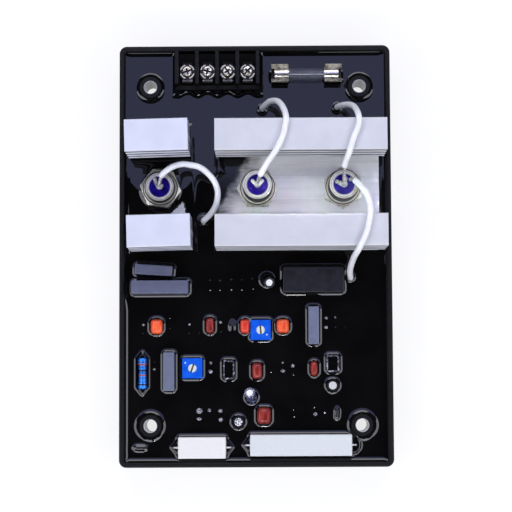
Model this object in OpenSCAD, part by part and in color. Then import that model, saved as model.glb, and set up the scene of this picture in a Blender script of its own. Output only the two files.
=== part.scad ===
// Automatic voltage regulator for a small generator.
// A shallow tray holds a circuit board set in black resin. Two finned heat
// sinks carry two stud diodes and a stud thyristor, and a terminal strip, a
// glass fuse, two trimmers and the loose components stand out of the resin.
// The part lies on its flat back. Millimetres.
// Origin: middle of the back. +Y points to the terminal strip, +Z out of the resin.

/* [Tray] */
// Outer width of the tray
tray_w = 128; // [123:0.5:140]
// Outer length of the tray
tray_l = 198.5; // [192:0.5:215]
// Height of the rim above the back
tray_h = 22; // [20:0.5:23]
// Thickness of the side walls
tray_wall = 2.6; // [2.2:0.1:3]
// Thickness of the back
tray_floor = 2.5; // [2:0.1:3.5]
// Outer radius of the upright corners
tray_corner_r = 3.5; // [3.2:0.1:6]
// Radius of the rim's top edges
rim_r = 1; // [0.4:0.1:1]

/* [Mounting] */
// Distance of the screw holes from the tray's long sides
mount_edge_x = 14.5; // [13:0.1:16]
// Distance of the screw holes from the tray's short sides
mount_edge_y = 19.25; // [17:0.25:21.5]
// Diameter of the screw holes
mount_hole_d = 6; // [5.2:0.1:6.6]
// Diameter of the screw pillars above the board
boss_d = 11.4; // [9.5:0.1:12.5]
// Diameter of the shoulder that carries the board
shoulder_d = 15; // [14:0.5:17]
// Height of the pillars above the resin
boss_proud = 1.5; // [1:0.1:3]

/* [Board and resin] */
// Height of the board's underside above the back
board_z = 12.4; // [11.5:0.1:13.5]
// Thickness of the board
board_t = 1.6; // [1.2:0.1:2]
// Depth of resin over the board
resin_over = 4; // [3.4:0.1:4.2]
// Reach of the sloped resin edge round each component
meniscus_w = 1.7; // [1:0.1:2.2]
// Rise of the sloped resin edge round each component
meniscus_h = 0.9; // [0.4:0.1:1.2]

/* [Heat sinks] */
// Width over both fin stacks
sink_w = 59; // [56:0.5:61]
// Thickness of the web that rests on the board
sink_web_t = 4.3; // [4.3:0.1:5]
// Width of one fin stack
stack_w = 15; // [13:0.5:16]
// Thickness of a fin
fin_t = 1.6; // [1.2:0.1:2]
// Spacing of the fins
fin_pitch = 7; // [6:0.1:7]
// Number of fins in a stack
fin_count = 4; // [3:1:4]
// Thickness of the wall that carries the fins
stack_wall_t = 2.4; // [2:0.1:3.5]
// Length of the small heat sink
small_sink_l = 29; // [27:0.5:31]
// Gap between the two heat sinks
sink_gap = 11.7; // [9:0.1:14]
// Turn of the small heat sink on the board, in degrees
small_sink_turn = 1.4; // [0:0.1:2]

/* [Power devices] */
// Width of the hexagon across its flats
hex_af = 17; // [15:0.5:18]
// Height of the hexagon
hex_h = 6; // [4.5:0.1:7]
// Diameter of the metal can
can_d = 14.2; // [13:0.1:14.6]
// Height of the short can above its hexagon
short_can_h = 5.4; // [4.6:0.1:7]
// Height of the tall cans above their hexagons
tall_can_h = 11.5; // [9:0.1:12]
// Diameter of the coloured seal
seal_d = 9.7; // [8.5:0.1:10.8]
// Diameter of the threaded stud
stud_d = 6.3; // [5:0.1:6.5]
// Distance between the two devices on the large heat sink
device_pitch = 40; // [36:0.5:42]

/* [Leads] */
// Diameter of the insulated leads
lead_d = 2.8; // [2.2:0.1:3]

/* [Terminal strip] */
// Spacing of the terminals
strip_pitch = 9.5; // [9:0.1:10]
// Number of terminals
strip_ways = 4; // [3:1:4]
// Thickness of the barriers
barrier_t = 1.6; // [1.2:0.1:1.8]
// Height of the barriers above the cell floor
barrier_h = 8; // [6:0.1:10]
// Height of the cell floor above the board
strip_base_h = 7.5; // [6.5:0.1:9]
// Depth of the strip
strip_depth = 17.4; // [16.5:0.1:18]
// Diameter of the screw heads
screw_head_d = 4.8; // [4.4:0.1:5.4]
// Diameter of the screw threads
screw_d = 3.2; // [2.6:0.1:3.5]
// Width of the contact plates
plate_w = 4.6; // [4:0.1:6]

/* [Fuse] */
// Length of the fuse over its caps
fuse_l = 30; // [28:0.5:32]
// Outer diameter of the fuse caps
fuse_cap_d = 6.4; // [6:0.05:6.8]
// Length of a fuse cap
fuse_cap_l = 6.6; // [5.5:0.1:7.5]
// Height of the fuse axis above the board
fuse_axis_h = 8.5; // [8.2:0.1:10]
// Length of a fuse clip
clip_l = 8; // [7:0.1:9]
// Thickness of the clip's sheet
clip_t = 0.5; // [0.4:0.05:0.7]

/* [Trimmers] */
// Side of a trimmer's square body
trimmer_w = 9.4; // [9:0.1:10]
// Height of a trimmer's body
trimmer_h = 6; // [5.4:0.1:7]
// Diameter of the white rotor
rotor_d = 3.9; // [3.2:0.1:4.6]
// Running clearance round the rotor
rotor_gap = 0.08; // [0.05:0.01:0.1]
// Width of the rotor's screwdriver slot
slot_w = 0.8; // [0.6:0.05:1]

/* [Components] */
// Length of the long ceramic resistor
long_resistor_l = 47.4; // [44:0.2:49]
// Length of the short ceramic resistor
short_resistor_l = 22.2; // [20:0.2:24]
// Side of the ceramic resistors' square section
ceramic_w = 10; // [9:0.1:10]
// Diameter of the resistor wires
wire_d = 0.9; // [0.7:0.05:1.1]
// Length of the film resistor
film_resistor_l = 14.5; // [13:0.1:16]
// Diameter of the film resistor
film_resistor_d = 4.8; // [4.2:0.1:5.2]
// Thickness of the sleeves on the round capacitors
sleeve_t = 0.3; // [0.2:0.05:0.5]
// Corner radius of the dipped capacitors
dip_r = 1.5; // [0.8:0.1:1.6]

/* [Hidden] */
$fn = 64;

// clearances
seat = 0.05;
hole_gap = 0.3;
board_gap = 1.2;
sink_wall_gap = 0.7;
small_sink_gap = 2.4;
strip_wall_gap = 1.15;
fuse_wall_gap = 11.45;
short_wall_gap = 1.55;
long_wall_gap = 2.55;

// levels
inner_w = tray_w - 2 * tray_wall;
inner_l = tray_l - 2 * tray_wall;
inner_r = tray_corner_r - tray_wall;
mount_dx = tray_w - 2 * mount_edge_x;
mount_dy = tray_l - 2 * mount_edge_y;
board_top = board_z + board_t;
resin_z = board_top + resin_over;
web_top = board_top + sink_web_t;
boss_top = resin_z + boss_proud;

// a place on the board, in percent of the tray's inside from its middle
function at(p) = [p[0] * inner_w / 100, p[1] * inner_l / 100];

// heat sinks and devices
sink_y = at([0, 16.167])[1];
large_sink_l = inner_w - small_sink_gap - small_sink_l - sink_gap - sink_wall_gap;
small_sink_x = -inner_w / 2 + small_sink_gap + small_sink_l / 2;
large_sink_x = inner_w / 2 - sink_wall_gap - large_sink_l / 2;
stack_y = (sink_w - stack_w) / 2;
stack_h = fin_count * fin_pitch;
device_xy = [[small_sink_x, sink_y], [large_sink_x - device_pitch / 2, sink_y],
    [large_sink_x + device_pitch / 2, sink_y]];
device_can = [short_can_h, tall_can_h, tall_can_h];
device_turn = [-8, 0, -28];
can_top = [for (h = device_can) web_top + hex_h + h];
roll_r = 0.9;
groove_w = 0.3;
groove_depth = 0.6;
flange_out = 0.7;
flange_h = 1.3;
seal_t = 3.2;
seal_drop = 0.4;
post_d = 3;
post_up = 2.6;
post_top = 1.4;
spade_w = 6;
spade_t = 0.9;
spade_lobe_r = 0.8;
spade_up = 1.2;
spade_lean = [60, 30, 38];
spade_turn = [-45, 0, 18];
spade_shift = [[-1, 1], [0, 0], [-0.9, 0.3]];
gate_offset = [2.9, 2];
gate_d = 1.5;
nut_h = 5.2;
washer_h = 1.3;
stud_end = board_z - washer_h - nut_h - 1;

// lead routes, from the start of the insulation to the board
lead_z = board_top + 2;
routes = [
    [[-43.5, 35.5, 34], [-41, 38, 35], [-37.5, 40, 35.5], [-33.5, 41, 35.5], [-29.5, 40.5, 35.5],
        [-25.5, 39.5, 35], [-22, 37, 34], [-19, 33.5, 32.5], [-17.5, 29.5, 30.5], [-17.5, 26, 28.5],
        [-18.5, 22.5, 26], [-21, 19, 23], [-24, 16.5, 20.5], [-24.5, 16.5, 18], [-24.5, 16.5, lead_z]],
    [[2.5, 35, 41], [6, 40.5, 45], [9.5, 45, 48], [12.5, 51, 48.2], [14, 56.5, 48.2],
        [14.5, 61, 48], [13, 66.5, 42], [10.5, 70.5, 34], [7, 71.5, 27], [4, 70, 20.5],
        [3.5, 69.5, 18.5], [3.5, 69.5, lead_z]],
    [[41, 38.5, 42.5], [43, 44, 47.8], [45, 50.5, 48.2], [47.5, 57, 48.2], [47.5, 61.5, 47.8],
        [46, 67, 38], [43, 69.5, 29], [39.5, 70, 21], [39, 70, 18.5], [39, 70, lead_z]],
    [[46, 32.5, 39], [49, 29, 42], [51.5, 24.5, 45.5], [52.5, 18.5, 48], [52, 13.5, 48.2],
        [50.5, 7.5, 48.2], [47.5, 1, 48], [45, -3.5, 40], [44, -8, 28], [44.5, -11, 20.5],
        [44.5, -11, 18.5], [44.5, -11, lead_z]]];
// where the bare end of each lead leaves its post
lug_points = [for (i = [0:3]) i < 3
    ? [device_xy[i][0], device_xy[i][1] + 0.6, can_top[i] + post_up - 0.6]
    : [device_xy[2][0] + gate_offset[0], device_xy[2][1] + gate_offset[1], can_top[2] + post_up - 1]];

// terminal strip
strip_x = at([-14.25, 0])[0];
strip_y1 = inner_l / 2 - strip_wall_gap;
strip_y0 = strip_y1 - strip_depth;
strip_w = strip_ways * strip_pitch + barrier_t;
cell_z = board_top + strip_base_h;
cell_w = strip_pitch - barrier_t;
screw_y = strip_y1 - 9;
plate_t = 0.8;
washer_t = 1;
washer_w = min(7, cell_w - 0.6);
corner_rib = 0.6;
screw_head_h = 2.2;
head_edge_r = 0.7;
head_slot_w = 0.9;
head_cross_l = 3;
slot_turns = [17, -13, -55, 47];
function cell_x(i) = strip_x + (i - (strip_ways - 1) / 2) * strip_pitch;

// fuse
fuse_x = at([19.95, 0])[0];
fuse_y = inner_l / 2 - fuse_wall_gap;
fuse_z = board_top + fuse_axis_h;
clip_r = fuse_cap_d / 2 + 0.02;
clip_over = 1.6;
clip_open = 48;
lip_l = 2.4;
lip_turn = 38;
stem_w = 3;
glass_d = fuse_cap_d - 0.5;
glass_t = 0.7;
cap_wall = 0.4;

// boxed capacitors: centre, turn, length, width, height above the board
film_caps = [[[-38.8, -3.8], -3.9, 17.6, 4.8, 12], [[-36.3, -8], 0, 26.4, 6.2, 15],
    [[22, -17.3], 90, 17.6, 5, 11], [[-33.1, -28.3], 90, 18, 5.2, 11]];
block_cap = [[22, -6.3], 0, 28.4, 11.8, 12];
// flat packages: centre, turn, length, width, height above the board
packages = [[[-10.4, -27.9], 90, 9, 5.4, 6], [[29.3, -26.5], 90, 8, 6, 6]];
trimmer_xy = [at([1.8, -18.3]), at([-24.3, -27.5])];
rotor_turn = [4, -20];
rotor_depth = 2.2;
// dipped capacitors: centre, size across, size along, height above the board
orange_size = [4.6, 6.7, 8];
orange_gap = 0.3;
orange_caps = [[at([-37.9, -17.4]), 5.8, 7, 8],
    [[trimmer_xy[0][0] - trimmer_w / 2 - orange_gap - orange_size[0] / 2, at([0, -17.4])[1]],
        orange_size[0], orange_size[1], orange_size[2]],
    [at([10.3, -17.4]), 6, 6.6, 8]];
red_caps = [[at([-17.5, -17.2]), 4, 7.4, 7.5], [at([0.4, -28.2]), 4.8, 7.6, 8],
    [at([22.1, -27.7]), 3.6, 6.8, 7.5], [at([2.9, -39]), 6.6, 7.8, 8.5]];
// round capacitors: centre on the board, diameter, length, lean, heading of the lean
cans = [[at([3.7, -5.8]), 5, 9.6, 18, -51], [at([29.1, -31.8]), 5.6, 8, 0, 0],
    [at([-1.3, -35.5]), 5, 10.4, 24, 110], [at([-6.8, -40.5]), 5.6, 6, 0, 0]];
film_resistor_xy = at([-43.4, -28.7]);
film_resistor_sink = 1.1;
film_resistor_z = resin_z - film_resistor_sink;
ceramic_short_xy = [at([-20.6, 0])[0], -inner_l / 2 + short_wall_gap + ceramic_w / 2];
ceramic_long_xy = [at([16.9, 0])[0], -inner_l / 2 + long_wall_gap + ceramic_w / 2];
ceramic_h = 9;
ceramic_r = 0.5;
box_r = 0.4;
package_r = 0.3;
top_chamfer = 0.4;
package_chamfer = 0.7;
wire_z = resin_z + 1.2;
wire_out = 2.2;
wire_bend_r = 1;

// rectangle with round corners, centred
module round_rect(w, l, r) {
    square([w - 2 * r, l], center = true);
    square([w, l - 2 * r], center = true);
    for (x = [-1, 1], y = [-1, 1])
        translate([x * (w / 2 - r), y * (l / 2 - r)]) circle(r = r);
}

// section of the tray's wall, inner face at x = 0
module wall_section() {
    foot_r = 1.4;
    translate([0, foot_r]) square([tray_wall, tray_h - foot_r - rim_r]);
    square([tray_wall - foot_r, tray_h - rim_r]);
    translate([tray_wall - foot_r, foot_r]) circle(r = foot_r);
    translate([rim_r, tray_h - 2 * rim_r]) square([tray_wall - 2 * rim_r, 2 * rim_r]);
    for (x = [rim_r, tray_wall - rim_r])
        translate([x, tray_h - rim_r]) circle(r = rim_r);
}

module at_mounts() {
    for (x = [-1, 1], y = [-1, 1])
        translate([x * mount_dx / 2, y * mount_dy / 2, 0]) children();
}

module tray() {
    side_w = inner_w - 2 * inner_r;
    side_l = inner_l - 2 * inner_r;
    color([0.13, 0.14, 0.15])
    difference() {
        union() {
            translate([-inner_w / 2 - 0.2, -side_l / 2, 0]) cube([inner_w + 0.4, side_l, tray_floor]);
            translate([-side_w / 2, -inner_l / 2 - 0.2, 0]) cube([side_w, inner_l + 0.4, tray_floor]);
            for (s = [0, 180]) rotate([0, 0, s]) {
                translate([inner_w / 2, side_l / 2, 0]) rotate([90, 0, 0])
                    linear_extrude(side_l) wall_section();
                rotate([0, 0, 90]) translate([inner_l / 2, side_w / 2, 0]) rotate([90, 0, 0])
                    linear_extrude(side_w) wall_section();
                for (c = [[side_w / 2, side_l / 2, 0], [-side_w / 2, side_l / 2, 90]])
                    translate([c[0], c[1], 0]) rotate([0, 0, c[2]])
                        rotate_extrude(angle = 90) {
                            translate([inner_r, 0]) wall_section();
                            square([inner_r + 0.2, tray_floor]);
                        }
            }
            at_mounts() {
                cylinder(d = shoulder_d, h = board_z);
                cylinder(d = boss_d, h = boss_top - 0.7);
                translate([0, 0, boss_top - 0.7]) cylinder(d1 = boss_d, d2 = boss_d - 1.4, h = 0.7);
            }
        }
        at_mounts() translate([0, 0, -1]) cylinder(d = mount_hole_d, h = boss_top + 2);
    }
}

module board_outline(grow = 0) {
    round_rect(inner_w - 2 * board_gap + 2 * grow, inner_l - 2 * board_gap + 2 * grow, 1);
}

module circuit_board() {
    color([0.1, 0.32, 0.16])
    difference() {
        translate([0, 0, board_z]) linear_extrude(board_t) board_outline();
        at_mounts() cylinder(d = boss_d + 2 * hole_gap, h = board_top + 1);
        for (p = device_xy)
            translate([p[0], p[1], 0]) cylinder(d = stud_d + 2 * hole_gap, h = board_top + 1);
    }
}

// sloped edge of resin round a rectangular part
module box_meniscus(w, l) {
    rise = resin_z + meniscus_h;
    low = resin_z - 1;
    out = meniscus_w * (meniscus_h + 1) / meniscus_h;
    intersection() {
        translate([-w / 2 - 9, 0, 0]) rotate([90, 0, 90]) linear_extrude(w + 18)
            polygon([[-l / 2 - out, low], [l / 2 + out, low], [l / 2, rise], [-l / 2, rise]]);
        translate([0, l / 2 + 9, 0]) rotate([90, 0, 0]) linear_extrude(l + 18)
            polygon([[-w / 2 - out, low], [w / 2 + out, low], [w / 2, rise], [-w / 2, rise]]);
    }
}

module round_meniscus(d) {
    out = meniscus_w * (meniscus_h + 1) / meniscus_h;
    translate([0, 0, resin_z - 1])
        cylinder(r1 = d / 2 + out, r2 = d / 2, h = meniscus_h + 1);
}

// upright pocket in the resin for a rectangular part
module box_pocket(w, l, r) {
    translate([0, 0, board_top]) linear_extrude(meniscus_h + resin_over + 3)
        round_rect(w + 2 * seat, l + 2 * seat, r);
}

module place_box(c) {
    p = at(c[0]);
    translate([p[0], p[1], 0]) rotate([0, 0, c[1]]) children();
}

module place_can(c) {
    translate([c[0][0], c[0][1], board_top + c[1] / 2 * sin(c[3])])
        rotate([0, 0, c[4]]) rotate([0, c[3], 0]) children();
}

// where a leaning can passes the resin's surface
function can_at_resin(c) = let (run = resin_over * tan(c[3]))
    [c[0][0] + run * cos(c[4]), c[0][1] + run * sin(c[4])];

boxes = concat(film_caps, [block_cap]);
ceramics = [[ceramic_short_xy, short_resistor_l], [ceramic_long_xy, long_resistor_l]];
dipped = concat(orange_caps, red_caps);

module resin_edges() {
    for (c = concat(boxes, packages)) place_box(c) box_meniscus(c[2], c[3]);
    for (c = ceramics) translate([c[0][0], c[0][1], 0]) box_meniscus(c[1], ceramic_w);
    for (c = dipped) translate([c[0][0], c[0][1], 0]) box_meniscus(c[1], c[2]);
    for (p = trimmer_xy) translate([p[0], p[1], 0]) box_meniscus(trimmer_w, trimmer_w);
    for (c = cans) translate([can_at_resin(c)[0], can_at_resin(c)[1], 0]) round_meniscus(c[1]);
    for (r = routes) translate([r[len(r) - 1][0], r[len(r) - 1][1], 0]) round_meniscus(lead_d);
    at_mounts() round_meniscus(boss_d);
}

// film of resin that has run over the small heat sink's web
module web_film() {
    film = web_top + 0.4 - resin_z + 1;
    place_small_sink() translate([-small_sink_l / 2 - 1.5, -stack_y, resin_z - 1])
        cube([small_sink_l + 3, 2 * stack_y, film]);
}

module potting() {
    color([0.05, 0.05, 0.07])
    difference() {
        union() {
            translate([0, 0, tray_floor]) linear_extrude(resin_z - tray_floor)
                round_rect(inner_w - 2 * seat, inner_l - 2 * seat, inner_r);
            intersection() {
                translate([0, 0, resin_z - 2]) linear_extrude(4)
                    round_rect(inner_w - 2 * seat, inner_l - 2 * seat, inner_r);
                union() {
                    resin_edges();
                    web_film();
                }
            }
        }
        translate([0, 0, board_z]) linear_extrude(board_t) board_outline(seat);
        at_mounts() {
            cylinder(d = shoulder_d + 2 * seat, h = board_z + 0.1);
            cylinder(d = boss_d + 2 * seat, h = boss_top + 1);
        }
        for (p = device_xy) translate([p[0], p[1], 0]) {
            translate([0, 0, stud_end - seat]) cylinder(d = stud_d + 2 * seat, h = 14);
            translate([0, 0, board_z - washer_h - nut_h - seat])
                rotate([0, 0, 20]) cylinder(d = nut_corner() + 2 * seat, h = nut_h + 2 * seat, $fn = 6);
            translate([0, 0, board_z - washer_h - seat]) cylinder(d = 13 + 2 * seat, h = washer_h + 1);
        }
        translate([device_xy[0][0], device_xy[0][1], web_top])
            rotate([0, 0, device_turn[0]]) cylinder(d = hex_af / cos(30) + 2 * seat, h = 3, $fn = 6);
        place_small_sink() sink_shape(small_sink_l, seat);
        place_large_sink() sink_shape(large_sink_l, seat);
        for (c = boxes) place_box(c) box_pocket(c[2], c[3], box_r);
        for (c = packages) place_box(c) box_pocket(c[2], c[3], package_r);
        for (c = ceramics) translate([c[0][0], c[0][1], 0]) {
            box_pocket(c[1], ceramic_w, ceramic_r);
            for (s = [-1, 1]) translate([s * (c[1] / 2 + wire_out), 0, board_top])
                cylinder(d = wire_d + 2 * seat, h = resin_over + 1);
        }
        for (c = dipped) translate([c[0][0], c[0][1], 0]) box_pocket(c[1], c[2], dip_r);
        for (p = trimmer_xy) translate([p[0], p[1], 0]) box_pocket(trimmer_w, trimmer_w, 0.3);
        for (c = cans) place_can(c) translate([0, 0, -1]) cylinder(d = c[1] + 2 * seat, h = c[2] + 1);
        for (r = routes) translate([r[len(r) - 1][0], r[len(r) - 1][1], 0]) {
            translate([0, 0, lead_z]) cylinder(d = lead_d + 2 * seat, h = 8);
            translate([0, 0, board_top]) cylinder(d = 1.2 + 2 * seat, h = 4);
        }
        translate([film_resistor_xy[0], film_resistor_xy[1], film_resistor_z]) rotate([90, 0, 0])
            cylinder(d = film_resistor_d + 2 * seat, h = film_resistor_l + 2 * seat, center = true);
        for (s = [-1, 1]) {
            translate([clip_x(s), fuse_y, 0]) box_pocket(clip_l, stem_w, 0.1);
        }
        translate([0, 0, board_top]) linear_extrude(8) strip_outline(seat);
    }
}

// section of a heat sink: web with a stack of fins on each side
module sink_section(grow) {
    square_w = stack_w - fin_t;
    translate([-sink_w / 2 - grow, 0]) square([sink_w + 2 * grow, sink_web_t + grow]);
    for (s = [-1, 1]) translate([s * stack_y, 0]) {
        translate([-stack_wall_t / 2 - grow, 0]) square([stack_wall_t + 2 * grow, sink_web_t + stack_h]);
        for (i = [1:fin_count]) translate([0, sink_web_t + i * fin_pitch - fin_t / 2]) {
            square([square_w, fin_t], center = true);
            for (e = [-1, 1]) translate([e * square_w / 2, 0]) circle(d = fin_t, $fn = 32);
        }
    }
}

module sink_shape(l, grow = 0) {
    translate([-l / 2 - grow, 0, board_top]) rotate([90, 0, 90])
        linear_extrude(l + 2 * grow) sink_section(grow);
}

module place_small_sink() {
    translate([small_sink_x, sink_y, 0]) rotate([0, 0, small_sink_turn]) children();
}

module place_large_sink() {
    translate([large_sink_x, sink_y, 0]) children();
}

module stud_holes(list) {
    for (i = list) translate([device_xy[i][0], device_xy[i][1], 0])
        cylinder(d = stud_d + 2 * hole_gap, h = web_top + 1);
}

module heatsink_small() {
    color([0.84, 0.85, 0.9])
    difference() {
        place_small_sink() sink_shape(small_sink_l);
        stud_holes([0]);
    }
}

module heatsink_large() {
    color([0.84, 0.85, 0.9])
    difference() {
        place_large_sink() sink_shape(large_sink_l);
        stud_holes([1, 2]);
    }
}

// stud, hexagon and rolled can of one power device
module device_base(i) {
    corner = hex_af / cos(30) / 2;
    top = hex_h + device_can[i];
    can_r = can_d / 2;
    seal_r = seal_d / 2;
    color([0.78, 0.78, 0.8])
    translate([device_xy[i][0], device_xy[i][1], web_top]) {
        intersection() {
            rotate([0, 0, device_turn[i]]) cylinder(r = corner, h = hex_h, $fn = 6);
            rotate_extrude() polygon([[0, 0], [corner + 1, 0], [corner + 1, hex_h - 1.2],
                [hex_af / 2 - 0.4, hex_h], [0, hex_h]]);
        }
        rotate_extrude() {
            polygon([[0, hex_h - 0.2], [can_r + flange_out, hex_h - 0.2], [can_r + flange_out, hex_h + 0.5],
                [can_r, hex_h + flange_h], [0, hex_h + flange_h]]);
            translate([0, hex_h]) square([can_r, device_can[i] - seal_t]);
            difference() {
                union() {
                    translate([seal_r, hex_h + 1]) square([can_r - seal_r, device_can[i] - roll_r - 1]);
                    translate([seal_r, hex_h + 1]) square([can_r - seal_r - roll_r, device_can[i] - 1]);
                    translate([can_r - roll_r, top - roll_r]) circle(r = roll_r, $fn = 32);
                }
                translate([can_r - roll_r / 2 - groove_w, top - groove_depth]) square([groove_w, roll_r]);
            }
        }
        translate([0, 0, stud_end - web_top]) cylinder(d = stud_d, h = web_top - stud_end + 1);
    }
}

module diode_left_base() {
    device_base(0);
}

module diode_middle_base() {
    device_base(1);
}

module thyristor_base() {
    device_base(2);
}

// coloured seal in the top of a can, with holes for its posts
module device_seal(i) {
    color([0.16, 0.02, 0.55])
    translate([device_xy[i][0], device_xy[i][1], can_top[i] - seal_t])
    difference() {
        cylinder(d = seal_d - 2 * seat, h = seal_t - seal_drop);
        translate([0, 0, -1]) cylinder(d = post_d + 2 * seat, h = seal_t + 2);
        if (i == 2)
            translate([gate_offset[0], gate_offset[1], -1]) cylinder(d = gate_d + 2 * seat, h = seal_t + 2);
    }
}

module diode_left_seal() {
    device_seal(0);
}

module diode_middle_seal() {
    device_seal(1);
}

module thyristor_seal() {
    device_seal(2);
}

// straight round bar from one point to another
module bar(a, b, d) {
    v = b - a;
    n = norm(v);
    translate(a) rotate([0, acos(v[2] / n), atan2(v[1], v[0])]) cylinder(d = d, h = n);
}

// flattened end of a post, notched between two lobes for the bare wire
module spade_outline() {
    half = spade_w / 2;
    polygon([[-half, 1.5], [-0.8, -1.2], [0.8, -1.2], [half, 1.5], [half - 1.1, 2.3], [0, 0.9],
        [1.1 - half, 2.3]]);
    for (s = [-1, 1]) translate([s * (half - spade_lobe_r), 1.7]) circle(r = spade_lobe_r, $fn = 32);
}

// post whose leaning spade grips the bare end of the lead
module device_lug(i) {
    color([0.8, 0.8, 0.82]) {
        translate([device_xy[i][0], device_xy[i][1], can_top[i] - seal_t]) {
            cylinder(d = post_d, h = seal_t + post_top);
            translate([spade_shift[i][0], spade_shift[i][1], seal_t + spade_up])
                rotate([0, 0, spade_turn[i]]) rotate([spade_lean[i], 0, 0])
                    linear_extrude(spade_t, center = true) spade_outline();
        }
        bar(lug_points[i], routes[i][0], lead_d * 0.6);
    }
}

module diode_left_lug() {
    device_lug(0);
}

module diode_middle_lug() {
    device_lug(1);
}

module thyristor_lug() {
    device_lug(2);
}

module gate_lug() {
    p = lug_points[3];
    color([0.8, 0.8, 0.82]) {
        translate([p[0], p[1], can_top[2] - seal_t]) cylinder(d = gate_d, h = p[2] - can_top[2] + seal_t + 0.4);
        bar(p, routes[3][0], lead_d * 0.4);
    }
}

function nut_corner() = 10 / cos(30);

module stud_nuts() {
    color([0.75, 0.75, 0.77])
    for (p = device_xy) translate([p[0], p[1], board_z - washer_h - nut_h])
    difference() {
        rotate([0, 0, 20]) cylinder(d = nut_corner(), h = nut_h, $fn = 6);
        translate([0, 0, -1]) cylinder(d = stud_d + 2 * seat, h = nut_h + 2);
    }
}

module stud_washers() {
    color([0.7, 0.7, 0.72])
    for (p = device_xy) translate([p[0], p[1], board_z - washer_h])
    difference() {
        cylinder(d = 13, h = washer_h);
        translate([0, 0, -1]) cylinder(d = stud_d + 2 * hole_gap, h = washer_h + 2);
    }
}

// smooth route through a list of points, with two steps to each stretch
function bend(a, b, c, d, t) = 0.5 * (2 * b + (c - a) * t + (2 * a - 5 * b + 4 * c - d) * t * t
    + (3 * b - a - 3 * c + d) * t * t * t);
function smooth(p, first) = let (n = len(p) - 1, q = concat([first], p, [2 * p[n] - p[n - 1]]))
    concat([for (i = [1:n], t = [0, 0.5]) bend(q[i - 1], q[i], q[i + 1], q[i + 2], t)], [p[n]]);
function unit(v) = v / norm(v);
function heading(p, first, i) = let (n = len(p) - 1)
    i == 0 ? unit(p[0] - first) : i == n ? unit(p[n] - p[n - 1]) : unit(p[i + 1] - p[i - 1]);
// side direction of each ring, carried along the route without twisting
function sides(p, first, i, last) = let (t = heading(p, first, i), s = unit(last - (last * t) * t))
    i == len(p) - 1 ? [s] : concat([s], sides(p, first, i + 1, s));

module tube(points, first, d) {
    p = smooth(points, first);
    n = len(p);
    m = 8;
    s = sides(p, first, 0, [0.6, 0.5, 0.62]);
    rings = [for (i = [0:n - 1]) let (t = heading(p, first, i), u = cross(t, s[i]))
        for (k = [0:m - 1]) p[i] + d / 2 * (cos(k * 360 / m) * s[i] + sin(k * 360 / m) * u)];
    walls = [for (i = [0:n - 2], k = [0:m - 1]) let (a = i * m + k, b = i * m + (k + 1) % m)
        each [[a, a + m, b], [b, a + m, b + m]]];
    ends = [[for (k = [0:m - 1]) k], [for (k = [m - 1:-1:0]) (n - 1) * m + k]];
    polyhedron(points = rings, faces = concat(walls, ends));
}

module lead(i) {
    color([0.92, 0.93, 0.97]) tube(routes[i], lug_points[i], lead_d);
}

module diode_left_lead() {
    lead(0);
}

module diode_middle_lead() {
    lead(1);
}

module thyristor_lead() {
    lead(2);
}

module gate_lead() {
    lead(3);
}

// bare ends of the leads, soldered to the board
module lead_tails() {
    color([0.8, 0.6, 0.4])
    for (r = routes) translate([r[len(r) - 1][0], r[len(r) - 1][1], board_top])
        cylinder(d = 1.2, h = lead_z - board_top);
}

// plan of the terminal strip, with a rib behind each barrier
module strip_outline(grow = 0) {
    translate([strip_x - strip_w / 2 - grow, strip_y0 - grow])
        square([strip_w + 2 * grow, strip_depth + 2 * grow]);
    for (i = [0:strip_ways])
        translate([cell_x(i) - strip_pitch / 2, strip_y0]) circle(r = 1.7 + grow, $fn = 32);
}

module terminal_block() {
    ledge = 2;
    color([0.07, 0.07, 0.08])
    difference() {
        union() {
            translate([0, 0, board_top]) linear_extrude(strip_base_h) strip_outline();
            translate([strip_x - strip_w / 2, strip_y0, cell_z - 1]) cube([strip_w, ledge, 2.5]);
            for (i = [0:strip_ways])
                translate([cell_x(i) - strip_pitch / 2 - barrier_t / 2, strip_y0 + ledge - 0.2, cell_z - 1])
                    cube([barrier_t, strip_depth - ledge + 0.2, barrier_h + 1]);
        }
        for (i = [0:strip_ways - 1]) {
            translate([cell_x(i), screw_y, cell_z - 6]) cylinder(d = screw_d + 2 * seat, h = 8);
            translate([cell_x(i) - 0.8 - seat, strip_y0 + ledge + 1 - seat, board_top - 1])
                cube([1.6 + 2 * seat, plate_t + 2 * seat, strip_base_h + 1.01]);
        }
    }
}

// contact plates, each with an upturned tab and a pin down to the board
module terminal_plates() {
    plate_y0 = strip_y0 + 3;
    color([0.82, 0.82, 0.84])
    for (i = [0:strip_ways - 1]) translate([cell_x(i), 0, 0])
    difference() {
        union() {
            translate([-plate_w / 2, plate_y0, cell_z]) cube([plate_w, screw_y + 4.8 - plate_y0, plate_t]);
            translate([-plate_w / 2, plate_y0, cell_z]) cube([plate_w, plate_t, 2.6]);
            translate([-0.8, plate_y0, board_top]) cube([1.6, plate_t, strip_base_h + 0.4]);
        }
        translate([0, screw_y, cell_z - 1]) cylinder(d = screw_d + 2 * seat, h = 4);
    }
}

// square clamp washers with four raised corners
module clamp_washers() {
    z = cell_z + plate_t;
    color([0.86, 0.86, 0.88])
    for (i = [0:strip_ways - 1]) translate([cell_x(i), screw_y, z])
    difference() {
        union() {
            linear_extrude(washer_t) round_rect(washer_w, washer_w, 2.4);
            difference() {
                cylinder(d = washer_w - 0.1, h = washer_t + 0.6);
                translate([0, 0, washer_t]) cylinder(d = washer_w - 0.1 - 2 * corner_rib, h = 2);
                for (a = [0, 90]) rotate([0, 0, a])
                    translate([-9, -0.9, washer_t]) cube([18, 1.8, 2]);
            }
        }
        translate([0, 0, -1]) cylinder(d = screw_d + 2 * seat, h = 4);
    }
}

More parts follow.
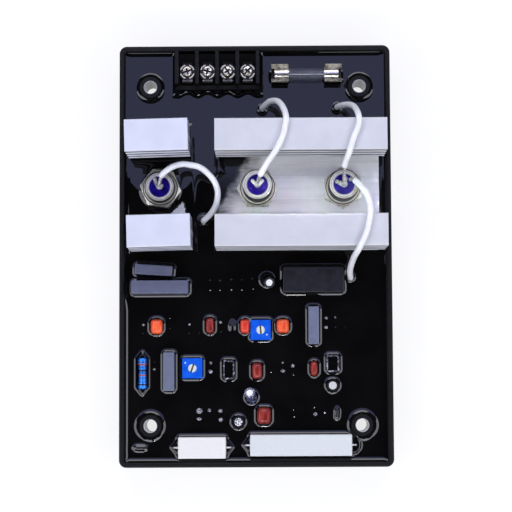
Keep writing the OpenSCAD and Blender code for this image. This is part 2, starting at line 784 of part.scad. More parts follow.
// pan-head screws with a slot and a cross
module terminal_screws() {
    z = cell_z + plate_t + washer_t;
    r = screw_head_d / 2;
    color([0.88, 0.88, 0.9])
    for (i = [0:strip_ways - 1]) translate([cell_x(i), screw_y, z])
    difference() {
        union() {
            rotate_extrude() {
                square([r, screw_head_h - head_edge_r]);
                square([r - head_edge_r, screw_head_h]);
                translate([r - head_edge_r, screw_head_h - head_edge_r]) circle(r = head_edge_r, $fn = 32);
            }
            translate([0, 0, cell_z - 5.5 - z]) cylinder(d = screw_d, h = z - cell_z + 5.6);
        }
        rotate([0, 0, slot_turns[i]]) {
            translate([-r - 1, -head_slot_w / 2, screw_head_h - 1]) cube([2 * r + 2, head_slot_w, 2]);
            translate([-head_slot_w / 2, -head_cross_l / 2, screw_head_h - 1.4])
                cube([head_slot_w, head_cross_l, 2]);
        }
    }
}

function clip_x(s) = fuse_x + s * (fuse_l / 2 + clip_over - clip_l / 2);

// section of a fuse clip about the fuse axis: stem, ring and two flared lips
module clip_section() {
    ro = clip_r + clip_t;
    a = clip_open;
    difference() {
        circle(r = ro);
        circle(r = clip_r);
        polygon([[0, 0], [9 * sin(a), 9 * cos(a)], [0, 14], [-9 * sin(a), 9 * cos(a)]]);
    }
    for (s = [-1, 1]) translate([s * (clip_r + clip_t / 2) * sin(a + 3), (clip_r + clip_t / 2) * cos(a + 3)])
        rotate(-s * lip_turn) translate([-clip_t / 2, -clip_t / 2]) square([clip_t, lip_l]);
    translate([-stem_w / 2, -fuse_axis_h]) difference() {
        square([stem_w, fuse_axis_h - clip_r * 0.8]);
        translate([stem_w / 2, fuse_axis_h]) circle(r = clip_r + clip_t / 2);
    }
}

module fuse_clip(s) {
    color([0.83, 0.83, 0.85])
    translate([clip_x(s) - clip_l / 2, fuse_y, fuse_z]) rotate([90, 0, 90])
        linear_extrude(clip_l) clip_section();
}

module fuse_clip_left() {
    fuse_clip(-1);
}

module fuse_clip_right() {
    fuse_clip(1);
}

module along_fuse() {
    translate([fuse_x, fuse_y, fuse_z]) rotate([0, 90, 0]) children();
}

module fuse_tube() {
    l = fuse_l - 2 * cap_wall;
    color([0.85, 0.9, 0.92, 0.4])
    along_fuse() difference() {
        cylinder(d = glass_d, h = l, center = true);
        cylinder(d = glass_d - 2 * glass_t, h = l + 1, center = true);
    }
}

module fuse_cap(s) {
    color([0.85, 0.85, 0.87])
    along_fuse() rotate([0, s < 0 ? 180 : 0, 0]) translate([0, 0, fuse_l / 2 - fuse_cap_l])
    difference() {
        cylinder(d = fuse_cap_d, h = fuse_cap_l);
        translate([0, 0, -1]) cylinder(d = glass_d + 0.06, h = fuse_cap_l - cap_wall + 1);
    }
}

module fuse_cap_left() {
    fuse_cap(-1);
}

module fuse_cap_right() {
    fuse_cap(1);
}

module fuse_wire() {
    color([0.7, 0.7, 0.72])
    along_fuse() cylinder(d = 0.4, h = fuse_l - 2 * cap_wall, center = true);
}

// upright block with its top edges taken off
module chamfered_block(w, l, h, r, cut) {
    intersection() {
        linear_extrude(h) round_rect(w, l, r);
        rotate([90, 0, 90]) linear_extrude(w + 2, center = true) top_cut_section(l, h, cut);
        rotate([90, 0, 0]) linear_extrude(l + 2, center = true) top_cut_section(w, h, cut);
    }
}

module top_cut_section(w, h, cut) {
    polygon([[-w / 2 - 1, -1], [w / 2 + 1, -1], [w / 2 + 1, h - cut - 1], [w / 2 - cut, h],
        [-w / 2 + cut, h], [-w / 2 - 1, h - cut - 1]]);
}

// moulded box standing on the board
module box_part(c, r, cut) {
    place_box(c) translate([0, 0, board_top]) chamfered_block(c[2], c[3], c[4], r, cut);
}

module film_capacitor(i) {
    color([0.36, 0.38, 0.47]) box_part(film_caps[i], box_r, top_chamfer);
}

module film_capacitor_1() {
    film_capacitor(0);
}

module film_capacitor_2() {
    film_capacitor(1);
}

module film_capacitor_3() {
    film_capacitor(2);
}

module film_capacitor_4() {
    film_capacitor(3);
}

module block_capacitor() {
    color([0.14, 0.14, 0.17]) box_part(block_cap, box_r, top_chamfer);
}

module dip_package_1() {
    color([0.06, 0.06, 0.07]) box_part(packages[0], package_r, package_chamfer);
}

module dip_package_2() {
    color([0.06, 0.06, 0.07]) box_part(packages[1], package_r, package_chamfer);
}

// dipped capacitor: a block rounded along all three directions
module dipped_body(c) {
    translate([c[0][0], c[0][1], board_top + c[3] / 2]) intersection() {
        linear_extrude(c[3], center = true) round_rect(c[1], c[2], dip_r);
        rotate([90, 0, 0]) linear_extrude(c[2], center = true) round_rect(c[1], c[3], dip_r);
        rotate([90, 0, 90]) linear_extrude(c[1], center = true) round_rect(c[2], c[3], dip_r);
    }
}

module orange_capacitor_1() {
    color([0.95, 0.35, 0.2]) dipped_body(orange_caps[0]);
}

module orange_capacitor_2() {
    color([0.95, 0.35, 0.2]) dipped_body(orange_caps[1]);
}

module orange_capacitor_3() {
    color([0.95, 0.35, 0.2]) dipped_body(orange_caps[2]);
}

module red_capacitor_1() {
    color([0.7, 0.18, 0.15]) dipped_body(red_caps[0]);
}

module red_capacitor_2() {
    color([0.7, 0.18, 0.15]) dipped_body(red_caps[1]);
}

module red_capacitor_3() {
    color([0.7, 0.18, 0.15]) dipped_body(red_caps[2]);
}

module red_capacitor_4() {
    color([0.7, 0.18, 0.15]) dipped_body(red_caps[3]);
}

module trimmer_body(i) {
    color([0.06, 0.36, 0.9])
    translate([trimmer_xy[i][0], trimmer_xy[i][1], board_top])
    difference() {
        linear_extrude(trimmer_h) round_rect(trimmer_w, trimmer_w, 0.3);
        translate([0, 0, trimmer_h - rotor_depth]) cylinder(d = rotor_d + 2 * rotor_gap, h = rotor_depth + 1);
    }
}

module trimmer_rotor(i) {
    color([0.93, 0.94, 0.95])
    translate([trimmer_xy[i][0], trimmer_xy[i][1], board_top + trimmer_h - rotor_depth])
    difference() {
        cylinder(d = rotor_d, h = rotor_depth - 0.1);
        rotate([0, 0, 90 + rotor_turn[i]]) translate([-4, -slot_w / 2, rotor_depth - 1.1])
            cube([8, slot_w, 2]);
    }
}

module voltage_trimmer_body() {
    trimmer_body(0);
}

module voltage_trimmer_rotor() {
    trimmer_rotor(0);
}

module stability_trimmer_body() {
    trimmer_body(1);
}

module stability_trimmer_rotor() {
    trimmer_rotor(1);
}

// film resistor with swollen ends, lying half sunk along the board
module film_resistor() {
    r = film_resistor_d / 2;
    h = film_resistor_l / 2;
    color([0.16, 0.5, 0.88])
    translate([film_resistor_xy[0], film_resistor_xy[1], film_resistor_z]) rotate([90, 0, 0])
    rotate_extrude() {
        translate([0, -h + 1]) square([r - 0.5, 2 * h - 2]);
        for (s = [-1, 1]) translate([0, s * (h - 1.9) - 1.1]) square([r, 2.2]);
        for (s = [-1, 1]) translate([0, s * (h - 0.7) - 0.7]) square([r - 0.8, 1.4]);
        for (s = [-1, 1]) translate([r - 0.8, s * (h - 0.8)]) circle(r = 0.8, $fn = 32);
    }
}

module ceramic_resistor(p, l) {
    color([0.92, 0.93, 0.95])
    translate([p[0], p[1], board_top]) chamfered_block(l, ceramic_w, ceramic_h, ceramic_r, top_chamfer);
}

module ceramic_resistor_short() {
    ceramic_resistor(ceramic_short_xy, short_resistor_l);
}

module ceramic_resistor_long() {
    ceramic_resistor(ceramic_long_xy, long_resistor_l);
}

// wires from the ends of the ceramic resistors, bent down to the board
module resistor_wires() {
    run = wire_out - wire_bend_r;
    color([0.8, 0.8, 0.82])
    for (c = ceramics, s = [0, 180]) translate([c[0][0], c[0][1], 0]) rotate([0, 0, s])
    translate([c[1] / 2, 0, 0]) {
        translate([0, 0, wire_z]) rotate([0, 90, 0]) cylinder(d = wire_d, h = run);
        translate([run, 0, wire_z - wire_bend_r]) rotate([90, 0, 0])
            rotate_extrude(angle = 90) translate([wire_bend_r, 0]) circle(d = wire_d, $fn = 32);
        translate([wire_out, 0, board_top]) cylinder(d = wire_d, h = wire_z - wire_bend_r - board_top);
    }
}

// sleeve of a round capacitor, with its lip rolled in over the can
module electrolytic(i) {
    c = cans[i];
    color([0.1, 0.1, 0.13])
    place_can(c) difference() {
        cylinder(d = c[1], h = c[2]);
        translate([0, 0, -1]) cylinder(d = c[1] - 2 * sleeve_t, h = c[2] - sleeve_t + 1);
        cylinder(d = c[1] - 1.8, h = c[2] + 1);
    }
}

module electrolytic_1() {
    electrolytic(0);
}

module electrolytic_2() {
    electrolytic(1);
}

module electrolytic_3() {
    electrolytic(2);
}

module electrolytic_4() {
    electrolytic(3);
}

module electrolytic_cans() {
    color([0.86, 0.87, 0.9])
    for (c = cans) place_can(c) {
        cylinder(d = c[1] - 2 * sleeve_t - 2 * seat, h = c[2] - sleeve_t);
        cylinder(d = c[1] - 1.8 - 2 * seat, h = c[2] - 0.1);
    }
}

tray();
potting();
circuit_board();
terminal_block();
terminal_plates();
clamp_washers();
terminal_screws();
fuse_clip_left();
fuse_clip_right();
fuse_tube();
fuse_cap_left();
fuse_cap_right();
fuse_wire();
heatsink_small();
heatsink_large();
diode_left_base();
diode_middle_base();
thyristor_base();
diode_left_seal();
diode_middle_seal();
thyristor_seal();
diode_left_lug();
diode_middle_lug();
thyristor_lug();
gate_lug();
stud_nuts();
stud_washers();
diode_left_lead();
diode_middle_lead();
thyristor_lead();
gate_lead();
lead_tails();
film_capacitor_1();
film_capacitor_2();
film_capacitor_3();
film_capacitor_4();
block_capacitor();
orange_capacitor_1();
orange_capacitor_2();
orange_capacitor_3();
red_capacitor_1();
red_capacitor_2();
red_capacitor_3();
red_capacitor_4();
voltage_trimmer_body();
voltage_trimmer_rotor();
stability_trimmer_body();
stability_trimmer_rotor();
film_resistor();
ceramic_resistor_short();
ceramic_resistor_long();
resistor_wires();
electrolytic_1();
electrolytic_2();
electrolytic_3();
electrolytic_4();
electrolytic_cans();
dip_package_1();
dip_package_2();
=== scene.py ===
import math

import bpy
import numpy as np
from mathutils import Matrix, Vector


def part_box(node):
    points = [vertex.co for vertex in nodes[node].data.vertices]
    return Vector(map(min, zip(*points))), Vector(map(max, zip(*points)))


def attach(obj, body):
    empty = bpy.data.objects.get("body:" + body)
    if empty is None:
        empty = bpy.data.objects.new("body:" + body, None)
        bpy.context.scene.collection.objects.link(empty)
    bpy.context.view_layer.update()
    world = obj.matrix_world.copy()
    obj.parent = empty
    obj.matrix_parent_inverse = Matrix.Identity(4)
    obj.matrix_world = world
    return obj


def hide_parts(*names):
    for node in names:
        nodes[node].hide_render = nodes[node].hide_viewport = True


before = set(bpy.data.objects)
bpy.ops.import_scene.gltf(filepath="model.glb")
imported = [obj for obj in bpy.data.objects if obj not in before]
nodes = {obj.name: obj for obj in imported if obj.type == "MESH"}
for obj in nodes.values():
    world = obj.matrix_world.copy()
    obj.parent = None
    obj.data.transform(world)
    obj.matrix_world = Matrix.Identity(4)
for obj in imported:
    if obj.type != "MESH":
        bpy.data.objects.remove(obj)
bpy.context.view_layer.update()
mm = 0.001
fixedBody = "regulator"
scene = bpy.context.scene
scene.view_settings.view_transform = "Standard"
bpy.ops.object.select_all(action="DESELECT")
print("frame loaded:", len(nodes), "nodes")


def tone(*screen):  # screen colour, 0 to 255, as a linear colour
    return tuple(c / 3294.6 if c <= 10.3 else ((c / 255 + 0.055) / 1.055) ** 2.4 for c in screen) + (1,)


def plan(node):  # middle and size of a solid from above, in millimetres
    low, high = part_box(node)
    ends = [(float(a) / mm, float(b) / mm) for a, b in zip(low, high)][:2]
    return [round((a + b) / 2, 4) for a, b in ends] + [round(b - a, 4) for a, b in ends]


def levels(node):  # its bottom and top
    low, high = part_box(node)
    return round(float(low[2]) / mm, 4), round(float(high[2]) / mm, 4)


def active(obj):
    bpy.ops.object.select_all(action="DESELECT")
    obj.select_set(True)
    bpy.context.view_layer.objects.active = obj


def pick(obj, test):  # into edit mode with the faces chosen by centre and normal
    mesh = obj.data
    mesh.vertices.foreach_set("select", [False] * len(mesh.vertices))
    mesh.edges.foreach_set("select", [False] * len(mesh.edges))
    for face in mesh.polygons:
        face.select = bool(test(face.center, face.normal))
    bpy.ops.object.mode_set(mode="EDIT")
    bpy.ops.mesh.select_mode(type="FACE")


def done():
    bpy.ops.object.mode_set(mode="OBJECT")


def shape(obj, kind, **settings):  # add a modifier and apply it
    active(obj)
    modifier = obj.modifiers.new(kind.title(), kind)
    for key, value in settings.items():
        setattr(modifier, key, value)
    bpy.ops.object.modifier_apply(modifier=modifier.name)


def place(obj, name, finish, slot, *covers, smooth=40):  # finish a piece and tell the frame about it
    active(obj)
    bpy.ops.object.transform_apply(location=True, rotation=True, scale=True)
    bpy.ops.object.shade_smooth_by_angle(angle=math.radians(smooth))
    obj.name = name
    obj.data.name = name
    obj.data.materials.clear()
    obj.data.materials.append(finish)
    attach(obj, fixedBody)
    if covers:
        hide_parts(*covers)


# Camera, standing where the photographer stood
camera = {"lens": 112.5, "place": (0.0066, -0.0597, 0.770), "tilt": 4.5, "lean": 0.51, "turn": -0.32}
bpy.ops.object.camera_add()
eye = bpy.context.object
eye.data.sensor_width = 36
eye.data.lens = camera["lens"]
eye.data.clip_start = 0.01
eye.matrix_world = (
    Matrix.Translation(camera["place"])
    @ Matrix.Rotation(math.radians(camera["turn"]), 4, "Z")
    @ Matrix.Rotation(math.radians(camera["tilt"]), 4, "X")
    @ Matrix.Rotation(math.radians(camera["lean"]), 4, "Y"))
scene.camera = eye
print("camera set")


# Finishes: a mottled colour and roughness with a fine bump
def speckle(tree, grain, stretch=(1, 1, 1), detail=3):
    coords = tree.nodes.new("ShaderNodeTexCoord")
    turn = tree.nodes.new("ShaderNodeMapping")
    turn.inputs["Scale"].default_value = stretch
    tree.links.new(coords.outputs["Object"], turn.inputs["Vector"])
    noise = tree.nodes.new("ShaderNodeTexNoise")
    noise.inputs["Scale"].default_value = grain
    noise.inputs["Detail"].default_value = detail
    tree.links.new(turn.outputs["Vector"], noise.inputs["Vector"])
    return noise.outputs["Fac"]


def surface(name, dark, light, grain=300, stretch=(1, 1, 1), metal=0.0, rough=(0.3, 0.4), bump=0.0,
            bumpGrain=600, depth=0.0001, **sockets):
    finish = bpy.data.materials.new(name)
    finish.use_nodes = True
    tree = finish.node_tree
    shader = tree.nodes["Principled BSDF"]
    mottle = speckle(tree, grain, stretch, 4)
    ramp = tree.nodes.new("ShaderNodeValToRGB")
    ramp.color_ramp.elements[0].position = 0.35
    ramp.color_ramp.elements[0].color = dark
    ramp.color_ramp.elements[1].position = 0.65
    ramp.color_ramp.elements[1].color = light
    tree.links.new(mottle, ramp.inputs["Fac"])
    tree.links.new(ramp.outputs["Color"], shader.inputs["Base Color"])
    spread = tree.nodes.new("ShaderNodeMapRange")
    spread.inputs["From Min"].default_value = 0.3
    spread.inputs["From Max"].default_value = 0.7
    spread.inputs["To Min"].default_value = rough[0]
    spread.inputs["To Max"].default_value = rough[1]
    tree.links.new(mottle, spread.inputs["Value"])
    tree.links.new(spread.outputs["Result"], shader.inputs["Roughness"])
    if bump:
        lift = tree.nodes.new("ShaderNodeBump")
        lift.inputs["Strength"].default_value = bump
        lift.inputs["Distance"].default_value = depth
        tree.links.new(speckle(tree, bumpGrain, stretch), lift.inputs["Height"])
        tree.links.new(lift.outputs["Normal"], shader.inputs["Normal"])
    shader.inputs["Metallic"].default_value = metal
    for key, value in sockets.items():
        shader.inputs[key.replace("_", " ")].default_value = value
    return finish


# Masks for what lies on one part of a surface, in millimetres on the part
def apart(tree, vector):  # its three numbers
    parts = tree.nodes.new("ShaderNodeSeparateXYZ")
    tree.links.new(vector, parts.inputs[0])
    return parts.outputs


def spot(tree, centre=(0, 0), turn=0.0):  # place seen from a centre
    coords = tree.nodes.new("ShaderNodeTexCoord")
    move = tree.nodes.new("ShaderNodeMapping")
    move.vector_type = "TEXTURE"
    move.inputs["Location"].default_value = (centre[0] * mm, centre[1] * mm, 0)
    move.inputs["Rotation"].default_value = (0, 0, math.radians(turn))
    move.inputs["Scale"].default_value = (mm, mm, mm)
    tree.links.new(coords.outputs["Object"], move.inputs["Vector"])
    return apart(tree, move.outputs["Vector"])


def facing(tree):  # the way that a face looks
    return apart(tree, tree.nodes.new("ShaderNodeNewGeometry").outputs["Normal"])


def sums(tree, kind, *values):  # one step of arithmetic
    step = tree.nodes.new("ShaderNodeMath")
    step.operation = kind
    for socket, value in zip(step.inputs, values):
        if isinstance(value, (int, float)):
            socket.default_value = value
        else:
            tree.links.new(value, socket)
    return step.outputs[0]


def fade(tree, value, start, end):  # 0 at the start, 1 at the end
    step = tree.nodes.new("ShaderNodeMapRange")
    step.interpolation_type = "SMOOTHSTEP"
    step.inputs["From Min"].default_value = start
    step.inputs["From Max"].default_value = end
    tree.links.new(value, step.inputs["Value"])
    return step.outputs["Result"]


def both(tree, *masks):  # 1 where every mask is 1
    whole = masks[0]
    for mask in masks[1:]:
        whole = sums(tree, "MULTIPLY", whole, mask)
    return whole


def off(tree, value, stop):  # distance of a value from a stop
    return sums(tree, "ABSOLUTE", sums(tree, "SUBTRACT", value, stop))


def away(tree, x, y, cx, cy):  # distance from an upright axis
    dx = sums(tree, "SUBTRACT", x, cx)
    dy = sums(tree, "SUBTRACT", y, cy)
    return sums(tree, "SQRT", sums(tree, "ADD", both(tree, dx, dx), both(tree, dy, dy)))


def coat(finish, mask, **values):  # lay other values over a finish where the mask is 1
    tree = finish.node_tree
    shader = tree.nodes["Principled BSDF"]
    for key, value in values.items():
        target = shader.inputs[key.replace("_", " ")]
        blend = tree.nodes.new("ShaderNodeMix")
        colour = isinstance(value, tuple)
        blend.data_type = "RGBA" if colour else "FLOAT"
        below, above, mixed = (6, 7, 2) if colour else (2, 3, 0)  # its sockets for colours or numbers
        if target.is_linked:
            tree.links.new(target.links[0].from_socket, blend.inputs[below])
        else:
            blend.inputs[below].default_value = target.default_value
        blend.inputs[above].default_value = value
        tree.links.new(mask, blend.inputs[0])
        tree.links.new(blend.outputs[mixed], target)


# Tray: black plastic, with painted light inside the screw holes: pale and shiny bores
tray = {"hole": (49.5, 80), "bore": (3.25, 3.1)}
trayPlastic = surface("trayPlastic", tone(8, 8, 9), tone(13, 13, 15), 900, rough=(0.42, 0.55), bump=0.2,
    bumpGrain=2500, depth=0.00006, Specular_IOR_Level=0.2)
tree = trayPlastic.node_tree
x, y = spot(tree)[:2]
hole = away(tree, sums(tree, "ABSOLUTE", x), sums(tree, "ABSOLUTE", y), *tray["hole"])
# painted light: the bores are pale where the black plastic would be
coat(trayPlastic, fade(tree, hole, *tray["bore"]), Base_Color=tone(170, 170, 178), Roughness=0.25)

resin = surface("resin", tone(7, 7, 8), tone(12, 11, 12), 60, rough=(0.0, 0.02), bump=0.03, bumpGrain=45,
    depth=0.0006)
boardGreen = surface("boardGreen", tone(20, 70, 35), tone(28, 92, 48), 300, rough=(0.35, 0.5))

# Terminal strip: painted shade low down, on the plates and washers and in the screws' slots, with painted
# highlights on the plates' tabs and the washers' ribs
strip = {"pitch": 9.5, "shade": (24.5, 21.8), "tab": 82.6, "tabHighlight": (0.5, 0.36), "rib": (23.7, 23.4),
    "slot": (24.95, 24.65)}
stripPlastic = surface("stripPlastic", tone(18, 18, 20), tone(26, 26, 29), 700, rough=(0.36, 0.48), bump=0.2,
    bumpGrain=1800, depth=0.00005, Specular_IOR_Level=0.12)
tree = stripPlastic.node_tree
# painted shade on the strip's lower part
coat(stripPlastic, fade(tree, spot(tree)[2], *strip["shade"]), Base_Color=tone(5, 5, 6), Roughness=0.8)
# the nickel plates' faces are painted dark as shade
plateNickel = surface("plateNickel", tone(20, 19, 18), tone(30, 29, 28), 500, rough=(0.6, 0.7), bump=0.15,
    bumpGrain=900, depth=0.00005, Specular_IOR_Level=0.15)
tree = plateNickel.node_tree
# painted highlight along the top edge of each plate's tab
edge = off(tree, spot(tree)[1], strip["tab"])
coat(plateNickel, fade(tree, edge, *strip["tabHighlight"]), Base_Color=tone(252, 246, 230))
# nickel's pale colour, lightened and not metallic as a painted highlight on the ribs
washerNickel = surface("washerNickel", tone(240, 234, 218), tone(252, 247, 232), 500, rough=(0.3, 0.4),
    bump=0.15, bumpGrain=900, depth=0.00005)
tree = washerNickel.node_tree
# painted shade on the washers' flat parts below their ribs
coat(washerNickel, fade(tree, spot(tree)[2], *strip["rib"]), Base_Color=tone(40, 37, 33), Roughness=0.35)
screwNickel = surface("screwNickel", tone(214, 205, 184), tone(252, 242, 219), 900, metal=0.75,
    rough=(0.14, 0.24), bump=1.0, bumpGrain=520, depth=0.0006)
tree = screwNickel.node_tree
# painted shade down in the screw slots
coat(screwNickel, fade(tree, spot(tree)[2], *strip["slot"]), Base_Color=tone(48, 45, 41), Roughness=0.5)

# Fuse: warm spring clips with painted shade inside, silvery caps, thin clear glass
fuse = {"clipShade": (22.4, 20.9), "clipFoot": 3}
clipMetal = surface("clipMetal", tone(136, 130, 114), tone(206, 202, 188), 420, metal=0.7, rough=(0.24, 0.34),
    bump=0.3, bumpGrain=700, depth=0.0001)
tree = clipMetal.node_tree
inside = fade(tree, spot(tree)[2], *fuse["clipShade"])
# painted shade on the clips below the fuse's axis
coat(clipMetal, inside, Base_Color=tone(24, 23, 20), Roughness=0.6, Metallic=0.0)
capMetal = surface("capMetal", tone(208, 202, 190), tone(232, 227, 216), 400, metal=1.0, rough=(0.2, 0.3),
    bump=0.1, bumpGrain=900, depth=0.00005)
fuseGlass = surface("fuseGlass", tone(120, 122, 134), tone(140, 143, 155), 200, rough=(0.02, 0.05), Alpha=0.1,
    Specular_IOR_Level=1.0)
tinnedWire = surface("tinnedWire", tone(206, 205, 204), tone(234, 233, 232), 900, metal=0.5,
    rough=(0.22, 0.35), bump=0.3, bumpGrain=1500, depth=0.00005)

# Heat sinks: smooth fins with painted shade between them, a brushed web lightened as painted light, resin
# smeared on the large one beside a haze of painted shade
sinks = {
    "turn": {"heatsink_small": 1.4, "heatsink_large": 0.0}, "web": (18.9, 18.5), "finRow": 22,
    "northInset": 0.2, "gapSide": (7.3, 7.14), "gapFoot": (19, 19.6), "gapTop": (44.69, 44.5),
    "slope": (0.872, -0.489), "rag": 5, "haze": (-17, -23.5), "film": (-22.9, -27.2),
    "rightFilm": (59.2, 59.8)}


def sinkFinish(name, node, dark, light):
    finish = surface(name, dark, light, 120, metal=0.35, rough=(0.48, 0.54), bump=0.04, bumpGrain=2200,
        depth=0.00003)
    tree = finish.node_tree
    y, z = spot(tree, plan(node)[:2], sinks["turn"][node])[1:]
    web = fade(tree, z, *sinks["web"])
    streak = fade(tree, speckle(tree, 900, (0.02, 1, 1)), 0.48, 0.7)
    # painted light: the web is lighter than the fins and not metallic, against the channel's shade
    coat(finish, web, Base_Color=tone(235, 235, 237), Metallic=0.0)
    coat(finish, both(tree, web, streak), Base_Color=tone(217, 217, 219))
    deep = off(tree, sums(tree, "ABSOLUTE", y), sinks["finRow"])
    deep = sums(tree, "ADD", deep, sums(tree, "MULTIPLY", fade(tree, y, -1, 1), sinks["northInset"]))
    inner = fade(tree, sums(tree, "ABSOLUTE", facing(tree)[0]), 0.6, 0.4)  # not on the cut ends
    # painted shade on the fins' faces inside the gaps between them
    gap = both(tree, fade(tree, deep, *sinks["gapSide"]), fade(tree, z, *sinks["gapFoot"]),
        fade(tree, z, *sinks["gapTop"]), inner)
    coat(finish, gap, Base_Color=tone(100, 102, 112), Roughness=0.6)
    return finish


def smearAndShade(finish):  # a streaky haze of painted shade, then a black resin film, on the web's left, and the film at its right end
    tree = finish.node_tree
    east, north, up = spot(tree)
    web = fade(tree, up, *sinks["web"])
    rag = sums(tree, "MULTIPLY", sums(tree, "SUBTRACT", speckle(tree, 260, detail=4), 0.5), sinks["rag"])
    slant = rag
    for way, share in zip((east, north), sinks["slope"]):
        slant = sums(tree, "ADD", slant, sums(tree, "MULTIPLY", way, share))
    thin = fade(tree, speckle(tree, 700, (0.2, 1, 1)), 0.1, 0.9)
    # painted shade: the haze darkens the web towards the resin film
    coat(finish, both(tree, web, fade(tree, slant, *sinks["haze"]), thin), Base_Color=tone(64, 56, 44))
    left = fade(tree, slant, *sinks["film"])
    right = fade(tree, sums(tree, "ADD", east, sums(tree, "MULTIPLY", rag, 0.25)), *sinks["rightFilm"])
    film = both(tree, web, sums(tree, "MAXIMUM", left, right))
    coat(finish, film, Base_Color=tone(13, 13, 15), Roughness=0.1, Metallic=0.0)


smallSink = sinkFinish("smallSink", "heatsink_small", tone(213, 216, 225), tone(218, 221, 231))
largeSink = sinkFinish("largeSink", "heatsink_large", tone(207, 208, 209), tone(212, 213, 215))
smearAndShade(largeSink)

# Stud devices: fine turned rings, and two dark rings of painted shade round each axis, one under the can's
# rolled top and one at the hex's top edge
devices = {
    "bases": ["diode_left_base", "diode_middle_base", "thyristor_base"], "rings": 6.6,
    "grooveShades": [  # radius, half width and level
        (7.0, (0.4, 0.25), (25.4, 25.8)), (8.05, (0.28, 0.16), (23, 23.6))]}
deviceMetal = surface("deviceMetal", tone(198, 194, 182), tone(230, 226, 213), 900, metal=0.5,
    rough=(0.28, 0.38), bump=0.2, bumpGrain=1200, depth=0.00006)
tree = deviceMetal.node_tree
x, y, z = spot(tree)
axes = [away(tree, x, y, *plan(node)[:2]) for node in devices["bases"]]
radius = sums(tree, "MINIMUM", axes[0], sums(tree, "MINIMUM", axes[1], axes[2]))
turned = fade(tree, sums(tree, "SINE", sums(tree, "MULTIPLY", radius, devices["rings"])), 0.45, 0.9)
coat(deviceMetal, turned, Base_Color=tone(142, 138, 126))
grooveShades = [both(tree, fade(tree, off(tree, radius, r), *width), fade(tree, z, *level))
    for r, width, level in devices["grooveShades"]]
# painted shade in the two rings
coat(deviceMetal, sums(tree, "MAXIMUM", *grooveShades), Base_Color=tone(26, 25, 22), Roughness=0.7, Metallic=0.0)

# Their solder tags and seals, and the insulation of their leads
solder = surface("solder", tone(120, 119, 116), tone(214, 213, 210), 1300, metal=0.7, rough=(0.3, 0.42),
    bump=0.9, bumpGrain=1200, depth=0.0003)
sealViolet = surface("sealViolet", tone(8, 0, 80), tone(28, 4, 130), 350, rough=(0.2, 0.3), bump=0.1,
    bumpGrain=500, depth=0.0001, Specular_IOR_Level=0.1)
leadWhite = surface("leadWhite", tone(236, 237, 238), tone(244, 245, 246), 180, rough=(0.3, 0.42), bump=0.2,
    bumpGrain=700, depth=0.00006, Subsurface_Weight=0.7, Subsurface_Radius=(1, 1, 1), Subsurface_Scale=0.003)


# Moulded cases; the small packages with painted highlights on their chamfered edges and bright painted glints
# there
def caseFinish(name, dark, light, grain=240, **sockets):
    return surface(name, dark, light, grain, rough=(0.3, 0.42), bump=0.2, bumpGrain=1500, depth=0.00005,
        **sockets)


def ceramicFinish(name, dark, light):
    return surface(name, dark, light, 1500, rough=(0.55, 0.7), bump=0.1, bumpGrain=2600, depth=0.00004)


filmGrey = caseFinish("filmGrey", tone(89, 93, 113), tone(95, 99, 120))
filmPale = caseFinish("filmPale", tone(100, 106, 126), tone(106, 112, 133))
blockBlack = caseFinish("blockBlack", tone(24, 24, 29), tone(31, 31, 37), 300, Specular_IOR_Level=0.35)
ceramicWhite = ceramicFinish("ceramicWhite", tone(220, 219, 214), tone(224, 223, 218))
ceramicGrey = ceramicFinish("ceramicGrey", tone(204, 208, 207), tone(209, 213, 212))
packageBlack = surface("packageBlack", tone(5, 5, 6), tone(9, 9, 11), 500, rough=(0.08, 0.14), bump=0.06,
    bumpGrain=900, depth=0.00005)
tree = packageBlack.node_tree
tilt = facing(tree)[2]
# painted highlight: the chamfers are greyer than the black tops
edges = both(tree, fade(tree, tilt, 0.95, 0.85), fade(tree, tilt, 0.35, 0.5))
coat(packageBlack, edges, Base_Color=tone(74, 74, 82), Roughness=0.3)
# painted glints: bright specks on the chamfers
edgeGlints = both(tree, edges, fade(tree, speckle(tree, 900), 0.54, 0.6))
coat(packageBlack, edgeGlints, Base_Color=tone(190, 191, 200))


# Dipped coatings with long streaks, the lighter streaks painted highlights
def dipFinish(name, dark, light):
    return surface(name, dark, light, 420, stretch=(1.6, 0.3, 1), rough=(0.22, 0.32), bump=0.3, bumpGrain=420,
        depth=0.0002, Specular_IOR_Level=0.35)


dipOrange = dipFinish("dipOrange", tone(212, 64, 26), tone(247, 108, 62))
dipVermilion = dipFinish("dipVermilion", tone(190, 44, 22), tone(222, 76, 53))
dipRed = dipFinish("dipRed", tone(112, 26, 22), tone(160, 60, 52))

# Trimmers: a printed dot on each body, a gilt slot in each rotor
trimmers = {"dots": [(5.1, -37.6), (-33.1, -50.6)], "dot": (0.36, 0.28), "slot": (19.45, 19.15)}
trimmerBlue = surface("trimmerBlue", tone(6, 78, 198), tone(16, 94, 218), 260, rough=(0.34, 0.46), bump=0.15,
    bumpGrain=1400, depth=0.00005, Specular_IOR_Level=0.15)
tree = trimmerBlue.node_tree
x, y = spot(tree)[:2]
dot = sums(tree, "MINIMUM", *[away(tree, x, y, cx, cy) for cx, cy in trimmers["dots"]])
coat(trimmerBlue, fade(tree, dot, *trimmers["dot"]), Base_Color=tone(226, 232, 244))
rotorWhite = surface("rotorWhite", tone(198, 209, 207), tone(208, 219, 217), 500, rough=(0.3, 0.42),
    bump=0.15, bumpGrain=1500, depth=0.00004)
tree = rotorWhite.node_tree
coat(rotorWhite, fade(tree, spot(tree)[2], *trimmers["slot"]), Base_Color=tone(138, 100, 58))

